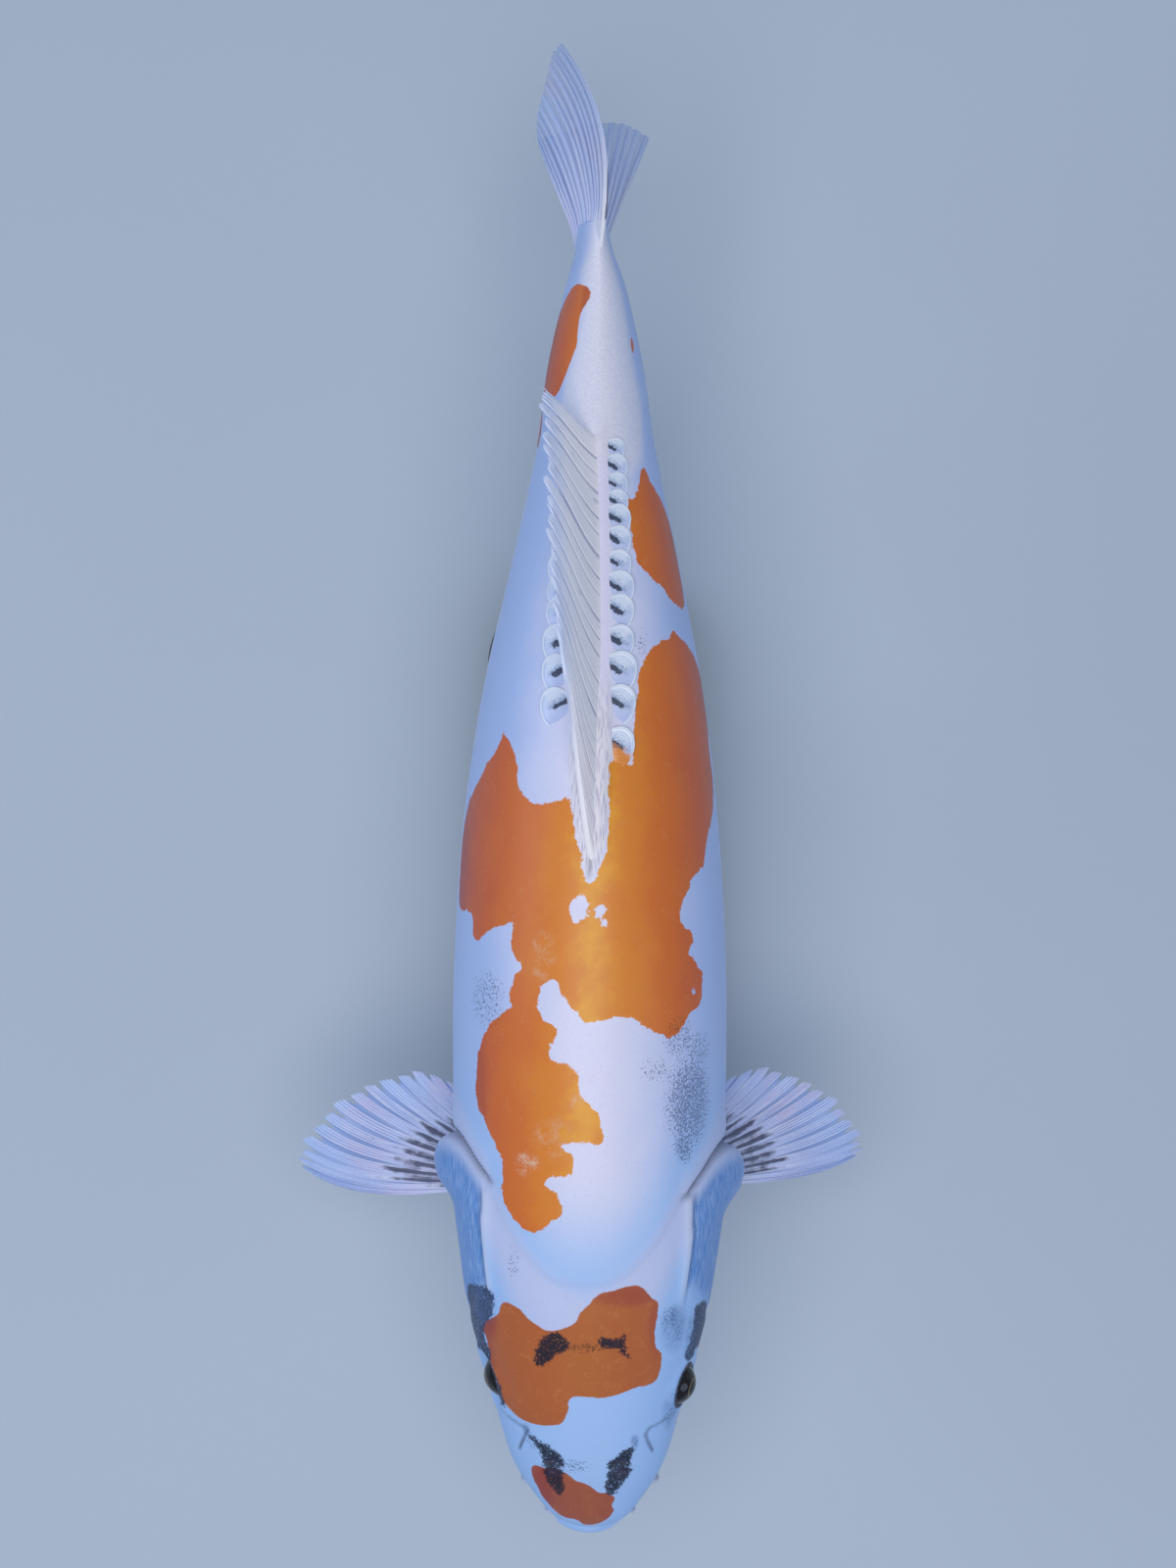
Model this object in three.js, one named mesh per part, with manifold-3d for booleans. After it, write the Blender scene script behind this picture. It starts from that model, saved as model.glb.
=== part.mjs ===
// Life-size koi carp of the scaleless kind, held level on a plain display stand.
// Millimetres, +Z up. The snout points to -Y, the tail to +Y and the fish's left side is +X.
// The origin is the middle of the stand's underside.
import * as THREE from "three";
import { mergeVertices } from "three/addons/utils/BufferGeometryUtils.js";
import Module from "manifold-3d";

const wasm = await Module();
wasm.setup();

// ---- Driving dimensions, mm ----
const STANDARD_LENGTH = 525; // snout to the root of the tail fin
const AXIS_HEIGHT = 165; // the fish's long axis above the floor
const GAP = 0.3; // clearance between neighbouring pieces
const BASE = { length: 290, width: 92, height: 14, corner: 40, bevel: 2 };
const ROD = { radius: 5, collar: 9, collarHeight: 7, chamfer: 2 };

// One percent of the standard length is the unit of every measure of the body below.
const P = STANDARD_LENGTH / 100;
const STAND_AT = 47.6; // distance from the snout to the middle of the stand
const ROD_AT = [34, 61];
const HEAD_END = [[12, 28.6], [9.8, 28.4], [7.6, 27.4], [4.6, 23.6], [0, 20.8]]; // the nape: sideways, back
const TRUNK_END = 84.5;
const SUNK = 0.6; // how deep the roots of the upright fins reach into the flesh before they are cut back

// ---- The body: sections from the snout back ----
// at: distance from the snout. half: half width. top, bottom: profile heights.
// widest: height of the widest point. square: 2 is an ellipse, more is boxier.
// roll: degrees towards the left side. shift: sideways bend.
const SECTION_KEYS = ["at", "half", "top", "bottom", "widest", "square", "roll", "shift"];
const SECTIONS = [
  [0, 0, -1, -1, -1, 2, -1.5, 0],
  [0.68, 2.35, 0.6, -2.5, -1.1, 2, -1.5, 0],
  [2.34, 4, 2.1, -4, -1.2, 2.05, -1.5, -0.05],
  [5.45, 5.9, 4.3, -5.7, -1.3, 2.15, -1.5, -0.12],
  [10.1, 7.3, 6.6, -7.4, -1.4, 2.25, -1.5, -0.15],
  [16.8, 9.2, 9.2, -9.4, -1.4, 2.2, -1.5, -0.15],
  [23.6, 10.15, 11.3, -10.9, -1.1, 2.1, -1, -0.1],
  [31.4, 10.44, 12.8, -12.1, -0.7, 2.05, -0.5, -0.05],
  [42.5, 10.5, 13.9, -12.9, -0.4, 2.05, 0, 0],
  [54.6, 9.8, 13.6, -12.6, -0.2, 2.05, 1.5, 0.05],
  [65.2, 8.35, 11.7, -10.9, 0, 2, 3, 0.2],
  [74.3, 6.45, 9.4, -8.5, 0, 2, 3, 0.38],
  [83.4, 4.55, 7.2, -6.4, 0, 1.95, 3, 0.45],
  [89.4, 3.72, 6.2, -5.6, 0, 1.9, 2, 0.42],
  [95.3, 2.42, 5.8, -5.4, 0, 1.85, 3, 0.42],
  [98.1, 1.52, 5.8, -5.5, 0, 1.85, 4, 0.26],
  [99.8, 1.2, 5.9, -5.6, 0, 1.85, 5, 0.12],
];
const LAST = SECTIONS.length - 1;
const RINGS = 44;
const AROUND = 32;

const lengthwise = (percent) => (percent - STAND_AT) * P;
const upward = (percent) => AXIS_HEIGHT + percent * P;
const point = (across, along, up) => new THREE.Vector3(across * P, lengthwise(along), upward(up));

// The row before the snout is the next row turned upside down, so that the nose is round.
function row(index) {
  if (index < 0) {
    const next = SECTIONS[-index];
    return [next[0], -next[1], next[3], next[2], ...next.slice(4)];
  }
  if (index <= LAST) return SECTIONS[index];
  return SECTIONS[LAST].map((value, key) => 2 * value - SECTIONS[LAST - 1][key]);
}

// The section at a place counted in rows of the table, by Catmull-Rom interpolation of each column.
function sectionAt(place) {
  const start = Math.min(Math.floor(place), LAST - 1);
  const t = place - start;
  const [a, b, c, d] = [-1, 0, 1, 2].map((step) => row(start + step));
  const found = {};
  SECTION_KEYS.forEach((name, key) => {
    const bend = 2 * a[key] - 5 * b[key] + 4 * c[key] - d[key];
    const twist = -a[key] + 3 * b[key] - 3 * c[key] + d[key];
    found[name] = b[key] + 0.5 * t * (c[key] - a[key] + t * (bend + t * twist));
  });
  return found;
}

// The table place whose section is at this distance from the snout.
function placeAt(along) {
  let low = 0;
  let high = LAST;
  for (let step = 0; step < 30; step += 1) {
    const middle = (low + high) / 2;
    if (sectionAt(middle).at < along) low = middle;
    else high = middle;
  }
  return (low + high) / 2;
}

// A point of the skin. The angle is 0 on the back, a quarter turn on the left side, a half turn on the belly.
function skinPoint(place, angle, fullness = 1) {
  const section = sectionAt(place);
  const rounded = (value) => Math.sign(value) * Math.abs(value) ** (2 / section.square);
  const across = section.half * rounded(Math.sin(angle)) * fullness;
  const cosine = Math.cos(angle);
  const reach = cosine > 0 ? section.top - section.widest : section.widest - section.bottom;
  const up = section.widest + reach * rounded(cosine) * fullness;
  const roll = THREE.MathUtils.degToRad(section.roll);
  return point(
    section.shift + across * Math.cos(roll) + up * Math.sin(roll),
    section.at,
    up * Math.cos(roll) - across * Math.sin(roll),
  );
}

function skinNormal(place, angle) {
  const step = 0.01;
  const around = skinPoint(place, angle + step).sub(skinPoint(place, angle - step));
  const along = skinPoint(place + step, angle).sub(skinPoint(place - step, angle));
  return around.cross(along).normalize();
}

function liftedSkin(place, angle, lift) {
  return skinPoint(place, angle).addScaledVector(skinNormal(place, angle), lift);
}

// ---- Geometry helpers ----
// Moves every vertex of a three.js geometry to where shape(vertex) says.
function reshaped(geometry, shape) {
  const places = geometry.getAttribute("position");
  const vertex = new THREE.Vector3();
  for (let i = 0; i < places.count; i += 1) {
    const moved = shape(vertex.fromBufferAttribute(places, i));
    places.setXYZ(i, moved.x, moved.y, moved.z);
  }
  return geometry;
}

function solidOf(geometry) {
  const bare = geometry.clone();
  bare.deleteAttribute("normal");
  bare.deleteAttribute("uv");
  const merged = mergeVertices(bare, 1e-4);
  return new wasm.Manifold(
    new wasm.Mesh({
      numProp: 3,
      vertProperties: merged.getAttribute("position").array,
      triVerts: new Uint32Array(merged.index.array),
    }),
  );
}

function geometryOf(solid) {
  const { numProp, numVert, vertProperties, triVerts } = solid.getMesh();
  const places = new Float32Array(numVert * 3);
  for (let i = 0; i < numVert; i += 1) {
    places.set(vertProperties.subarray(i * numProp, i * numProp + 3), i * 3);
  }
  return new THREE.BufferGeometry()
    .setAttribute("position", new THREE.BufferAttribute(places, 3))
    .setIndex(new THREE.BufferAttribute(triVerts, 1));
}

// Two cuts that cross can leave a crumb between them, so only the largest body is kept.
function mainPiece(solid) {
  return solid.decompose().reduce((largest, body) => (body.volume() > largest.volume() ? body : largest));
}

// A thin plate over a surface. surface(across, along) gives its middle.
// thickness holds half of it at the root and how much less it is at the tip, in percent.
function plate(surface, thickness, acrossSteps, alongSteps) {
  const step = 1e-3; // to either side, to find the surface's slope
  const box = new THREE.BoxGeometry(1, 1, 1, acrossSteps, alongSteps, 1);
  return reshaped(box, (vertex) => {
    const across = vertex.x + 0.5;
    const along = vertex.y + 0.5;
    const side = Math.sign(vertex.z);
    const a = surface(across + step, along).sub(surface(across - step, along));
    const b = surface(across, along + step).sub(surface(across, along - step));
    const normal = a.cross(b).normalize();
    const half = P * (thickness.root - thickness.lost * along);
    return surface(across, along).addScaledVector(normal, side * half);
  });
}

// A round rod that tapers along a curve, closed at both ends. It reaches its full radius at once.
const BLUNT = 4;

function tapered(curve, radiusAt, around, rings) {
  return reshaped(new THREE.SphereGeometry(1, around, rings), (vertex) => {
    const t = 1 - Math.acos(THREE.MathUtils.clamp(vertex.y, -1, 1)) / Math.PI;
    const out = Math.hypot(vertex.x, vertex.z) || 1;
    const ahead = curve.getTangentAt(t);
    const aside = new THREE.Vector3(0, 0, 1).cross(ahead).normalize();
    const upright = ahead.clone().cross(aside);
    const ring = radiusAt(t) * Math.min(1, Math.hypot(vertex.x, vertex.z) * BLUNT);
    return curve
      .getPointAt(t)
      .addScaledVector(aside, (-vertex.x / out) * ring)
      .addScaledVector(upright, (vertex.z / out) * ring);
  });
}

// Value at t of a smooth line through evenly spaced values, which runs on straight past its ends.
function along(values, t) {
  const last = values.length - 1;
  const start = THREE.MathUtils.clamp(Math.floor(t * last), 0, last - 1);
  const a = values[start - 1] ?? 2 * values[0] - values[1];
  const [b, c] = values.slice(start, start + 2);
  const d = values[start + 2] ?? 2 * values[last] - values[last - 1];
  const u = t * last - start;
  return b + 0.5 * u * (c - a + u * (2 * a - 5 * b + 4 * c - d + u * (3 * b - a - 3 * c + d)));
}

// ---- The whole body, before it is divided ----
function bodySolid(lift) {
  const geometry = new THREE.SphereGeometry(1, AROUND, RINGS);
  return solidOf(
    reshaped(geometry, (vertex) => {
      const t = 1 - Math.acos(THREE.MathUtils.clamp(vertex.y, -1, 1)) / Math.PI;
      const out = Math.hypot(vertex.x, vertex.z);
      if (out > 1e-6) return liftedSkin(t * LAST, Math.atan2(vertex.x, vertex.z), lift);
      return skinPoint(t * LAST, 0, 0).add(new THREE.Vector3(0, t > 0.5 ? lift : -lift, 0));
    }),
  );
}

// The two lips are rings sunk in the snout, of which only the front stands out.
const LIPS = [
  { up: -0.75, back: 2.6, reach: 2.3, tube: 0.62 },
  { up: -2.2, back: 2.7, reach: 2.15, tube: 0.6 },
];

function lipSolid({ up, back, reach, tube }, lift) {
  const ring = new THREE.TorusGeometry(reach * P, tube * P + lift, 8, 20);
  const centre = point(0, back, up);
  return solidOf(ring.translate(centre.x, centre.y, centre.z));
}

function fleshSolid(lift) {
  return LIPS.reduce((body, lip) => body.add(lipSolid(lip, lift)), bodySolid(lift));
}

// ---- Cutting shapes ----
// Everything in front of the nape, whose line is a smooth curve seen from above.
function headRegion(gap) {
  const leftSide = HEAD_END.map(([across, at]) => new THREE.Vector2(across * P, lengthwise(at) + gap));
  const rightSide = leftSide.slice(0, -1).map(({ x, y }) => new THREE.Vector2(-x, y));
  const outline = new THREE.Shape();
  outline.moveTo(rightSide[0].x, lengthwise(-10));
  outline.lineTo(leftSide[0].x, lengthwise(-10));
  outline.lineTo(leftSide[0].x, leftSide[0].y);
  outline.splineThru([...leftSide.slice(1), ...rightSide.reverse()]);
  const options = { depth: 2 * AXIS_HEIGHT, bevelEnabled: false, curveSegments: 2 };
  return solidOf(new THREE.ExtrudeGeometry(outline, options));
}

function tailRegion(gap) {
  const length = STANDARD_LENGTH;
  const box = new THREE.BoxGeometry(length, length, 2 * AXIS_HEIGHT);
  return solidOf(box.translate(0, lengthwise(TRUNK_END) + gap + length / 2, AXIS_HEIGHT));
}

// The lower jaw, seen from the side: under the mouth line and in front of the jaw joint.
const JAW = { mouth: -1.55, corner: [4.3, -2.3], joint: [8.2, -10], half: 3.1 };

function jawRegion(gap) {
  const [cornerAt, cornerUp] = JAW.corner;
  const [jointAt, jointUp] = JAW.joint;
  const outline = new THREE.Shape([
    new THREE.Vector2(lengthwise(-4), JAW.mouth * P + gap),
    new THREE.Vector2(lengthwise(cornerAt) + gap, cornerUp * P + gap),
    new THREE.Vector2(lengthwise(jointAt) + gap, jointUp * P),
    new THREE.Vector2(lengthwise(-4), jointUp * P),
  ]);
  const half = JAW.half * P + gap;
  const region = new THREE.ExtrudeGeometry(outline, { depth: 2 * half, bevelEnabled: false });
  return solidOf(reshaped(region, ({ x, y, z }) => new THREE.Vector3(z - half, x, y + AXIS_HEIGHT)));
}

// ---- Gill covers ----
// Angles in degrees from the back, and the front and rear edges at five even steps from top to bottom.
const GILL = {
  top: 50,
  bottom: 148,
  front: [19.5, 16.6, 16, 15, 12.5],
  rear: [28, 30, 29.8, 26, 19.5],
  depth: 0.5,
  proud: 0.22,
  span: 8, // about how long the cover is, to turn a gap into a share of it
  gap: 0.6, // mm, as its facets don't run parallel to the pocket's
};

function gillCover(side, gap) {
  const spread = gap / (GILL.span * P);
  const stretched = (t) => THREE.MathUtils.lerp(-spread, 1 + spread, t);
  const box = new THREE.BoxGeometry(1, 1, 1, 4, 8, 1);
  return solidOf(
    reshaped(box, (vertex) => {
      const down = stretched(0.5 - vertex.y);
      const angle = THREE.MathUtils.degToRad(THREE.MathUtils.lerp(GILL.top, GILL.bottom, down));
      const back = stretched(side * vertex.x + 0.5);
      const at = THREE.MathUtils.lerp(along(GILL.front, down), along(GILL.rear, down), back);
      const proud = GILL.proud * P * THREE.MathUtils.smoothstep(back, 0, 1) + gap;
      const lift = vertex.z > 0 ? proud : -GILL.depth * P - gap;
      return liftedSkin(placeAt(at), side * angle, lift);
    }),
  );
}

// ---- Eyes ----
const EYE = { at: [11.9, 12.5], across: 6.2, up: 1.9, radius: 1.87 }; // left, then right

function eyeSolid(side, gap) {
  const ball = new THREE.SphereGeometry(EYE.radius * P + gap, 12, 9);
  const centre = point(side * EYE.across, EYE.at[side > 0 ? 0 : 1], EYE.up);
  return solidOf(ball.translate(centre.x, centre.y, centre.z));
}

// ---- Barbels: a short pair on the upper lip and a longer pair at the corners of the mouth ----
const BARBELS = {
  front: { root: [2.4, 1.25, -1], bend: [3.7, 0.9, -1.7], tip: [3.4, 1.3, -3.2], radius: 0.16 },
  rear: { root: [4.1, 3.5, -2.2], bend: [5.6, 2.9, -2.7], tip: [5.2, 3.4, -5.4], radius: 0.22 },
};

function barbelSolid({ root, bend, tip, radius }, side) {
  const [from, over, to] = [root, bend, tip].map(([across, at, up]) => point(side * across, at, up));
  const curve = new THREE.QuadraticBezierCurve3(from, over, to);
  return solidOf(tapered(curve, (t) => P * radius * (1.05 - 0.6 * t), 7, 8));
}

// ---- Dorsal fin: half folded, the front rays lying back and the rear ones leaning to the right ----
// back, aside, up: from each ray's root to its tip, at five even steps from front to rear.
const DORSAL = {
  from: 50.8,
  to: 83.4,
  back: [16.3, 11, 8, 6.5, 3.9],
  aside: [-2.3, -3.1, -3.9, -4.3, -4.7],
  up: [4.7, 5.4, 5.2, 4.6, 2.8],
  arch: new THREE.Vector3(0.43, 0.33, 0.72), // where the rays' bend pulls, as shares of the tip's place
};

function dorsalSurface(v, r) {
  const at = THREE.MathUtils.lerp(DORSAL.from, DORSAL.to, v);
  const root = liftedSkin(placeAt(at), 0, -SUNK * P);
  const tip = new THREE.Vector3(along(DORSAL.aside, v), along(DORSAL.back, v), along(DORSAL.up, v) + SUNK);
  const over = tip.clone().multiply(DORSAL.arch);
  const bent = over.multiplyScalar(2 * r * (1 - r)).addScaledVector(tip, r * r);
  return root.addScaledVector(bent, P);
}

const dorsalFin = () => plate(dorsalSurface, { root: 0.24, lost: 0.14 }, 18, 5);

// ---- Tail fin: two lobes ----
// The middle rays are bowed to the right side and the outer edges to the left.
// Lists run in even steps from the fork to the lobe's outer edge. A ray starts this far aside, and lean
// and curl carry it on sideways.
const TAIL = {
  root: 97.8,
  slit: 0.12,
  spread: 5.6,
  length: [9.4, 10.8, 13, 15.4, 17.2],
  angle: [0, 10.9, 21.3, 31.9, 41.5],
  upper: {
    aside: [-0.15, 0.1, 0.35, 0.6, 0.85],
    lean: [-4.2, -2.9, -1.2, 0.3, 1.7],
    curl: [0.3, -1.2, -2.5, -3.7, -4.6],
  },
  lower: {
    aside: [-0.15, -0.05, 0.05, 0.1, 0.2],
    lean: [-4.2, -2.1, 0.5, 2.9, 4.9],
    curl: [0.3, -0.1, -0.1, -0.2, -0.2],
  },
};

function tailSurface(side) {
  const { aside, lean, curl } = side > 0 ? TAIL.upper : TAIL.lower;
  return (v, r) => {
    const angle = THREE.MathUtils.degToRad(along(TAIL.angle, v));
    const reach = r * along(TAIL.length, v);
    const sideways = along(aside, v) + along(lean, v) * r + along(curl, v) * r * r * r;
    const out = TAIL.slit + (TAIL.spread - TAIL.slit) * v + reach * Math.sin(angle);
    return point(sideways, TAIL.root + reach * Math.cos(angle), side * out);
  };
}

const tailLobe = (side) => plate(tailSurface(side), { root: 0.3, lost: 0.2 }, 8, 7);

// ---- Paired fins ----
// The pectoral fan, from the front ray to the rear one: the angle of each ray's tip back from straight out,
// and its distance from the fan's centre. The front rays bow forwards on their way. size is for the front
// and the rear ray.
const PECTORAL = {
  centre: { at: 26.9, across: 6.7, up: -6.6 },
  rootSpan: 2.4,
  innerReach: 1,
  angle: [-1.5, 3.5, 12, 23, 34.5, 48, 59],
  reach: [16.7, 17, 15.8, 14.2, 12.2, 10.3, 7.7],
  droop: 0.38,
  cup: 0.9, // how far the web's middle stands over its edges
  cupFlattens: 0.4, // the share of the cup that is lost by the tips
  slant: 0.8, // how much lower the rear ray's root is than the front one's
  left: { sweep: 3.5, size: [0.89, 1.06], bow: 7 },
  right: { sweep: 0, size: [1, 1], bow: 11 },
};

function pectoralSurface(side) {
  const { sweep, size, bow } = side > 0 ? PECTORAL.left : PECTORAL.right;
  const { at, across, up } = PECTORAL.centre;
  return (v, r) => {
    const turn = sweep - bow * (1 - r * r * r);
    const angle = THREE.MathUtils.degToRad(along(PECTORAL.angle, v) + turn * (1 - v));
    const tip = along(PECTORAL.reach, v) * THREE.MathUtils.lerp(...size, v);
    const reach = THREE.MathUtils.lerp(PECTORAL.innerReach, tip, r);
    const out = reach * Math.cos(angle);
    const back = at + PECTORAL.rootSpan * (v - 0.5) * (1 - r) + reach * Math.sin(angle);
    const cup = PECTORAL.cup * Math.sin(Math.PI * v) * r * (1 - PECTORAL.cupFlattens * r);
    return point(side * (across + out), back, up - PECTORAL.droop * out + cup - PECTORAL.slant * v);
  };
}

const pectoralFin = (side) => plate(pectoralSurface(side), { root: 0.36, lost: 0.26 }, 12, 6);

const PELVIC = {
  root: { at: 47.2, across: 3.4, up: -10.7 },
  rootSpan: 2.6,
  angle: [66, 70, 75, 81, 88],
  reach: [12.2, 12.4, 11.2, 9, 6.4],
  droop: 0.55,
  narrow: 0.8, // how much nearer the middle the rear ray's root is than the front one's
  dip: 1.2, // how far the tips hang below the roots
};

function pelvicSurface(side) {
  const { at, across, up } = PELVIC.root;
  return (v, r) => {
    const angle = THREE.MathUtils.degToRad(along(PELVIC.angle, v));
    const reach = r * along(PELVIC.reach, v);
    const aside = reach * Math.cos(angle) - PELVIC.narrow * v;
    const back = at + PELVIC.rootSpan * v + reach * Math.sin(angle);
    return point(side * (across + aside), back, up - PELVIC.droop * aside - PELVIC.dip * r);
  };
}

const pelvicFin = (side) => plate(pelvicSurface(side), { root: 0.3, lost: 0.2 }, 7, 5);

const ANAL = {
  from: 76.6,
  to: 82.6,
  reach: [12.2, 11.6, 9.4, 7.2, 5.4],
  angle: [56, 50, 44, 38, 32],
  aside: -0.9,
};

function analSurface(v, r) {
  const at = THREE.MathUtils.lerp(ANAL.from, ANAL.to, v);
  const root = liftedSkin(placeAt(at), Math.PI, -SUNK * P);
  const angle = THREE.MathUtils.degToRad(along(ANAL.angle, v));
  const reach = P * r * (along(ANAL.reach, v) + SUNK);
  const sideways = P * ANAL.aside * r * r;
  return root.add(new THREE.Vector3(sideways, reach * Math.cos(angle), -reach * Math.sin(angle)));
}

const analFin = () => plate(analSurface, { root: 0.28, lost: 0.18 }, 6, 5);

// ---- Display stand ----
function standBase() {
  const { length, width, height, corner, bevel } = BASE;
  const inner = { x: width / 2 - bevel, y: length / 2 - bevel, r: corner - bevel };
  const outline = new THREE.Shape();
  outline.moveTo(inner.x, inner.y - inner.r);
  outline.absarc(inner.x - inner.r, inner.y - inner.r, inner.r, 0, Math.PI / 2);
  outline.absarc(inner.r - inner.x, inner.y - inner.r, inner.r, Math.PI / 2, Math.PI);
  outline.absarc(inner.r - inner.x, inner.r - inner.y, inner.r, Math.PI, 1.5 * Math.PI);
  outline.absarc(inner.x - inner.r, inner.r - inner.y, inner.r, 1.5 * Math.PI, 2 * Math.PI);
  const options = { depth: height - 2 * bevel, bevelThickness: bevel, bevelSize: bevel, bevelSegments: 1 };
  return new THREE.ExtrudeGeometry(outline, { ...options, curveSegments: 8 }).translate(0, 0, bevel);
}

// A turned rod with a collar at its foot, long enough to reach into the belly.
function standRod(at) {
  const foot = BASE.height + GAP;
  const profile = [
    [0, foot],
    [ROD.collar, foot],
    [ROD.collar, foot + ROD.collarHeight - ROD.chamfer],
    [ROD.collar - ROD.chamfer, foot + ROD.collarHeight],
    [ROD.radius, foot + ROD.collarHeight],
    [ROD.radius, AXIS_HEIGHT],
    [0, AXIS_HEIGHT],
  ].map(([x, y]) => new THREE.Vector2(x, y));
  const rod = new THREE.LatheGeometry(profile, 16).rotateX(Math.PI / 2);
  return rod.translate(0, lengthwise(at), 0);
}

// ---- Materials ----
function finish(color, roughness, metalness = 0) {
  return new THREE.MeshStandardMaterial({ color, roughness, metalness });
}

const MATERIALS = {
  skin: finish(0xdfe3f2, 0.35),
  gill: finish(0xb9c8ea, 0.35),
  fin: finish(0xe3e0ee, 0.45),
  eye: finish(0x15120f, 0.1),
  stand: finish(0x2b2d30, 0.5, 0.3),
};

// ---- Assembly ----
const koi = new THREE.Group();
koi.name = "koi_carp";

function add(name, solid, material) {
  const mesh = new THREE.Mesh(geometryOf(solid), material);
  mesh.name = name;
  koi.add(mesh);
}

const SIDES = [
  ["left", 1],
  ["right", -1],
];
const flesh = fleshSolid(0);
const fleshAndGap = fleshSolid(GAP);
const gillPockets = SIDES.map(([, side]) => gillCover(side, GILL.gap));
const pockets = [...gillPockets, ...SIDES.map(([, side]) => eyeSolid(side, GAP))];
const hollowed = pockets.reduce((body, pocket) => body.subtract(pocket), flesh);

const front = hollowed.intersect(headRegion(0));
const rest = hollowed.subtract(headRegion(GAP));
add("head", mainPiece(front.subtract(jawRegion(GAP))), MATERIALS.skin);
add("lower_jaw", mainPiece(front.intersect(jawRegion(0))), MATERIALS.skin);
add("trunk", mainPiece(rest.subtract(tailRegion(0))), MATERIALS.skin);
add("tail_stem", mainPiece(rest.intersect(tailRegion(GAP))), MATERIALS.skin);

const clear = (solid, ...others) => others.reduce((left, other) => left.subtract(other), solid);

add("dorsal_fin", clear(solidOf(dorsalFin()), fleshAndGap), MATERIALS.fin);
add("tail_fin_upper", clear(solidOf(tailLobe(1)), fleshAndGap), MATERIALS.fin);
add("tail_fin_lower", clear(solidOf(tailLobe(-1)), fleshAndGap), MATERIALS.fin);
add("anal_fin", clear(solidOf(analFin()), fleshAndGap), MATERIALS.fin);
for (const [name, side] of SIDES) {
  add(`gill_cover_${name}`, gillCover(side, 0), MATERIALS.gill);
  add(`eye_${name}`, eyeSolid(side, 0), MATERIALS.eye);
  const pectoral = clear(solidOf(pectoralFin(side)), fleshAndGap, ...gillPockets);
  add(`pectoral_fin_${name}`, pectoral, MATERIALS.fin);
  add(`pelvic_fin_${name}`, clear(solidOf(pelvicFin(side)), fleshAndGap), MATERIALS.fin);
  for (const [pair, barbel] of Object.entries(BARBELS)) {
    add(`barbel_${pair}_${name}`, clear(barbelSolid(barbel, side), fleshAndGap), MATERIALS.skin);
  }
}

add("stand_base", solidOf(standBase()), MATERIALS.stand);
add("stand_rod_front", clear(solidOf(standRod(ROD_AT[0])), fleshAndGap), MATERIALS.stand);
add("stand_rod_rear", clear(solidOf(standRod(ROD_AT[1])), fleshAndGap), MATERIALS.stand);

export default koi;
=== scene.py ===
"""A life-size koi carp of the scaleless kind on a display stand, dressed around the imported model.

Shapes of the fish are worked out in percent of its standard length: across (to its left, +X),
at (back from the snout, +Y) and up (above its long axis, +Z). placed() turns them into metres.
"""
import math

import bmesh
import bpy
import numpy as np
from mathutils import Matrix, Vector


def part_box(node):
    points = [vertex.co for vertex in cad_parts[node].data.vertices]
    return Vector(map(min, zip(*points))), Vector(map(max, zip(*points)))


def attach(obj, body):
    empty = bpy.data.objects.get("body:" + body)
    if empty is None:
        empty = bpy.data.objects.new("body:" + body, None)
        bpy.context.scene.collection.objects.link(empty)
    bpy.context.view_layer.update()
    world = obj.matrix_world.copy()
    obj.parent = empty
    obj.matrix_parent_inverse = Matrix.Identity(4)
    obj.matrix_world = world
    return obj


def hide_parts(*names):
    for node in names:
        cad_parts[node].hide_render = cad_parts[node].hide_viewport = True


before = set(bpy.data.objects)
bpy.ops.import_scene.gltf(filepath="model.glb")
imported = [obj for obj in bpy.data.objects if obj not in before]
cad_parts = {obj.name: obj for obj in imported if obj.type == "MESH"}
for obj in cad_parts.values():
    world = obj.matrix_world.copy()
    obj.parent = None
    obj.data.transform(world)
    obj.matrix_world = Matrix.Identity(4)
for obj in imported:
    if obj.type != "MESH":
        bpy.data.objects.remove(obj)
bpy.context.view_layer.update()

# ---- The fish's place in the frame ----
LIPS_AT = -0.32  # the foremost point of the lips
STEM_END = 99.8  # the end of the flesh, inside the root of the tail fin
EYE_UP = 1.9  # the eyes' height above the long axis


def corners(node):
    """A CAD node's lowest and highest corners."""
    return [np.array(corner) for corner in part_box(node)]


head_low, _ = corners("head")
_, stem_high = corners("tail_stem")
PERCENT = (stem_high[1] - head_low[1]) / (STEM_END - LIPS_AT)
SNOUT_Y = head_low[1] - LIPS_AT * PERCENT
AXIS_Z = sum(corners("eye_left"))[2] / 2 - EYE_UP * PERCENT


def placed(points):
    """Metres in the frame, from percent of the standard length."""
    return points * PERCENT + np.array([0, SNOUT_Y, AXIS_Z])


def unplaced(points):
    """Percent of the standard length, from metres in the frame."""
    return (points - np.array([0, SNOUT_Y, AXIS_Z])) / PERCENT


# ---- Small numerical helpers ----
def smooth(x, low, high):
    """0 below low, 1 above high, and a smooth step between them."""
    t = np.clip((x - low) / (high - low), 0, 1)
    return t * t * (3 - 2 * t)


def fall(x, low, high):
    """1 below low, 0 above high, and a smooth step between them."""
    return smooth(-x, -high, -low)


def hill(x, width):
    """1 at x = 0, falling away evenly on both sides."""
    return np.exp(-((x / width) ** 2))


def full_turn(count):
    """Angles of evenly spaced places round a circle."""
    return np.linspace(0, 2 * np.pi, count, endpoint=False)


def spline(a, b, c, d, t):
    """Catmull-Rom curve from b to c."""
    return b + 0.5 * t * (c - a + t * (2 * a - 5 * b + 4 * c - d + t * (3 * b - a - 3 * c + d)))


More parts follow.
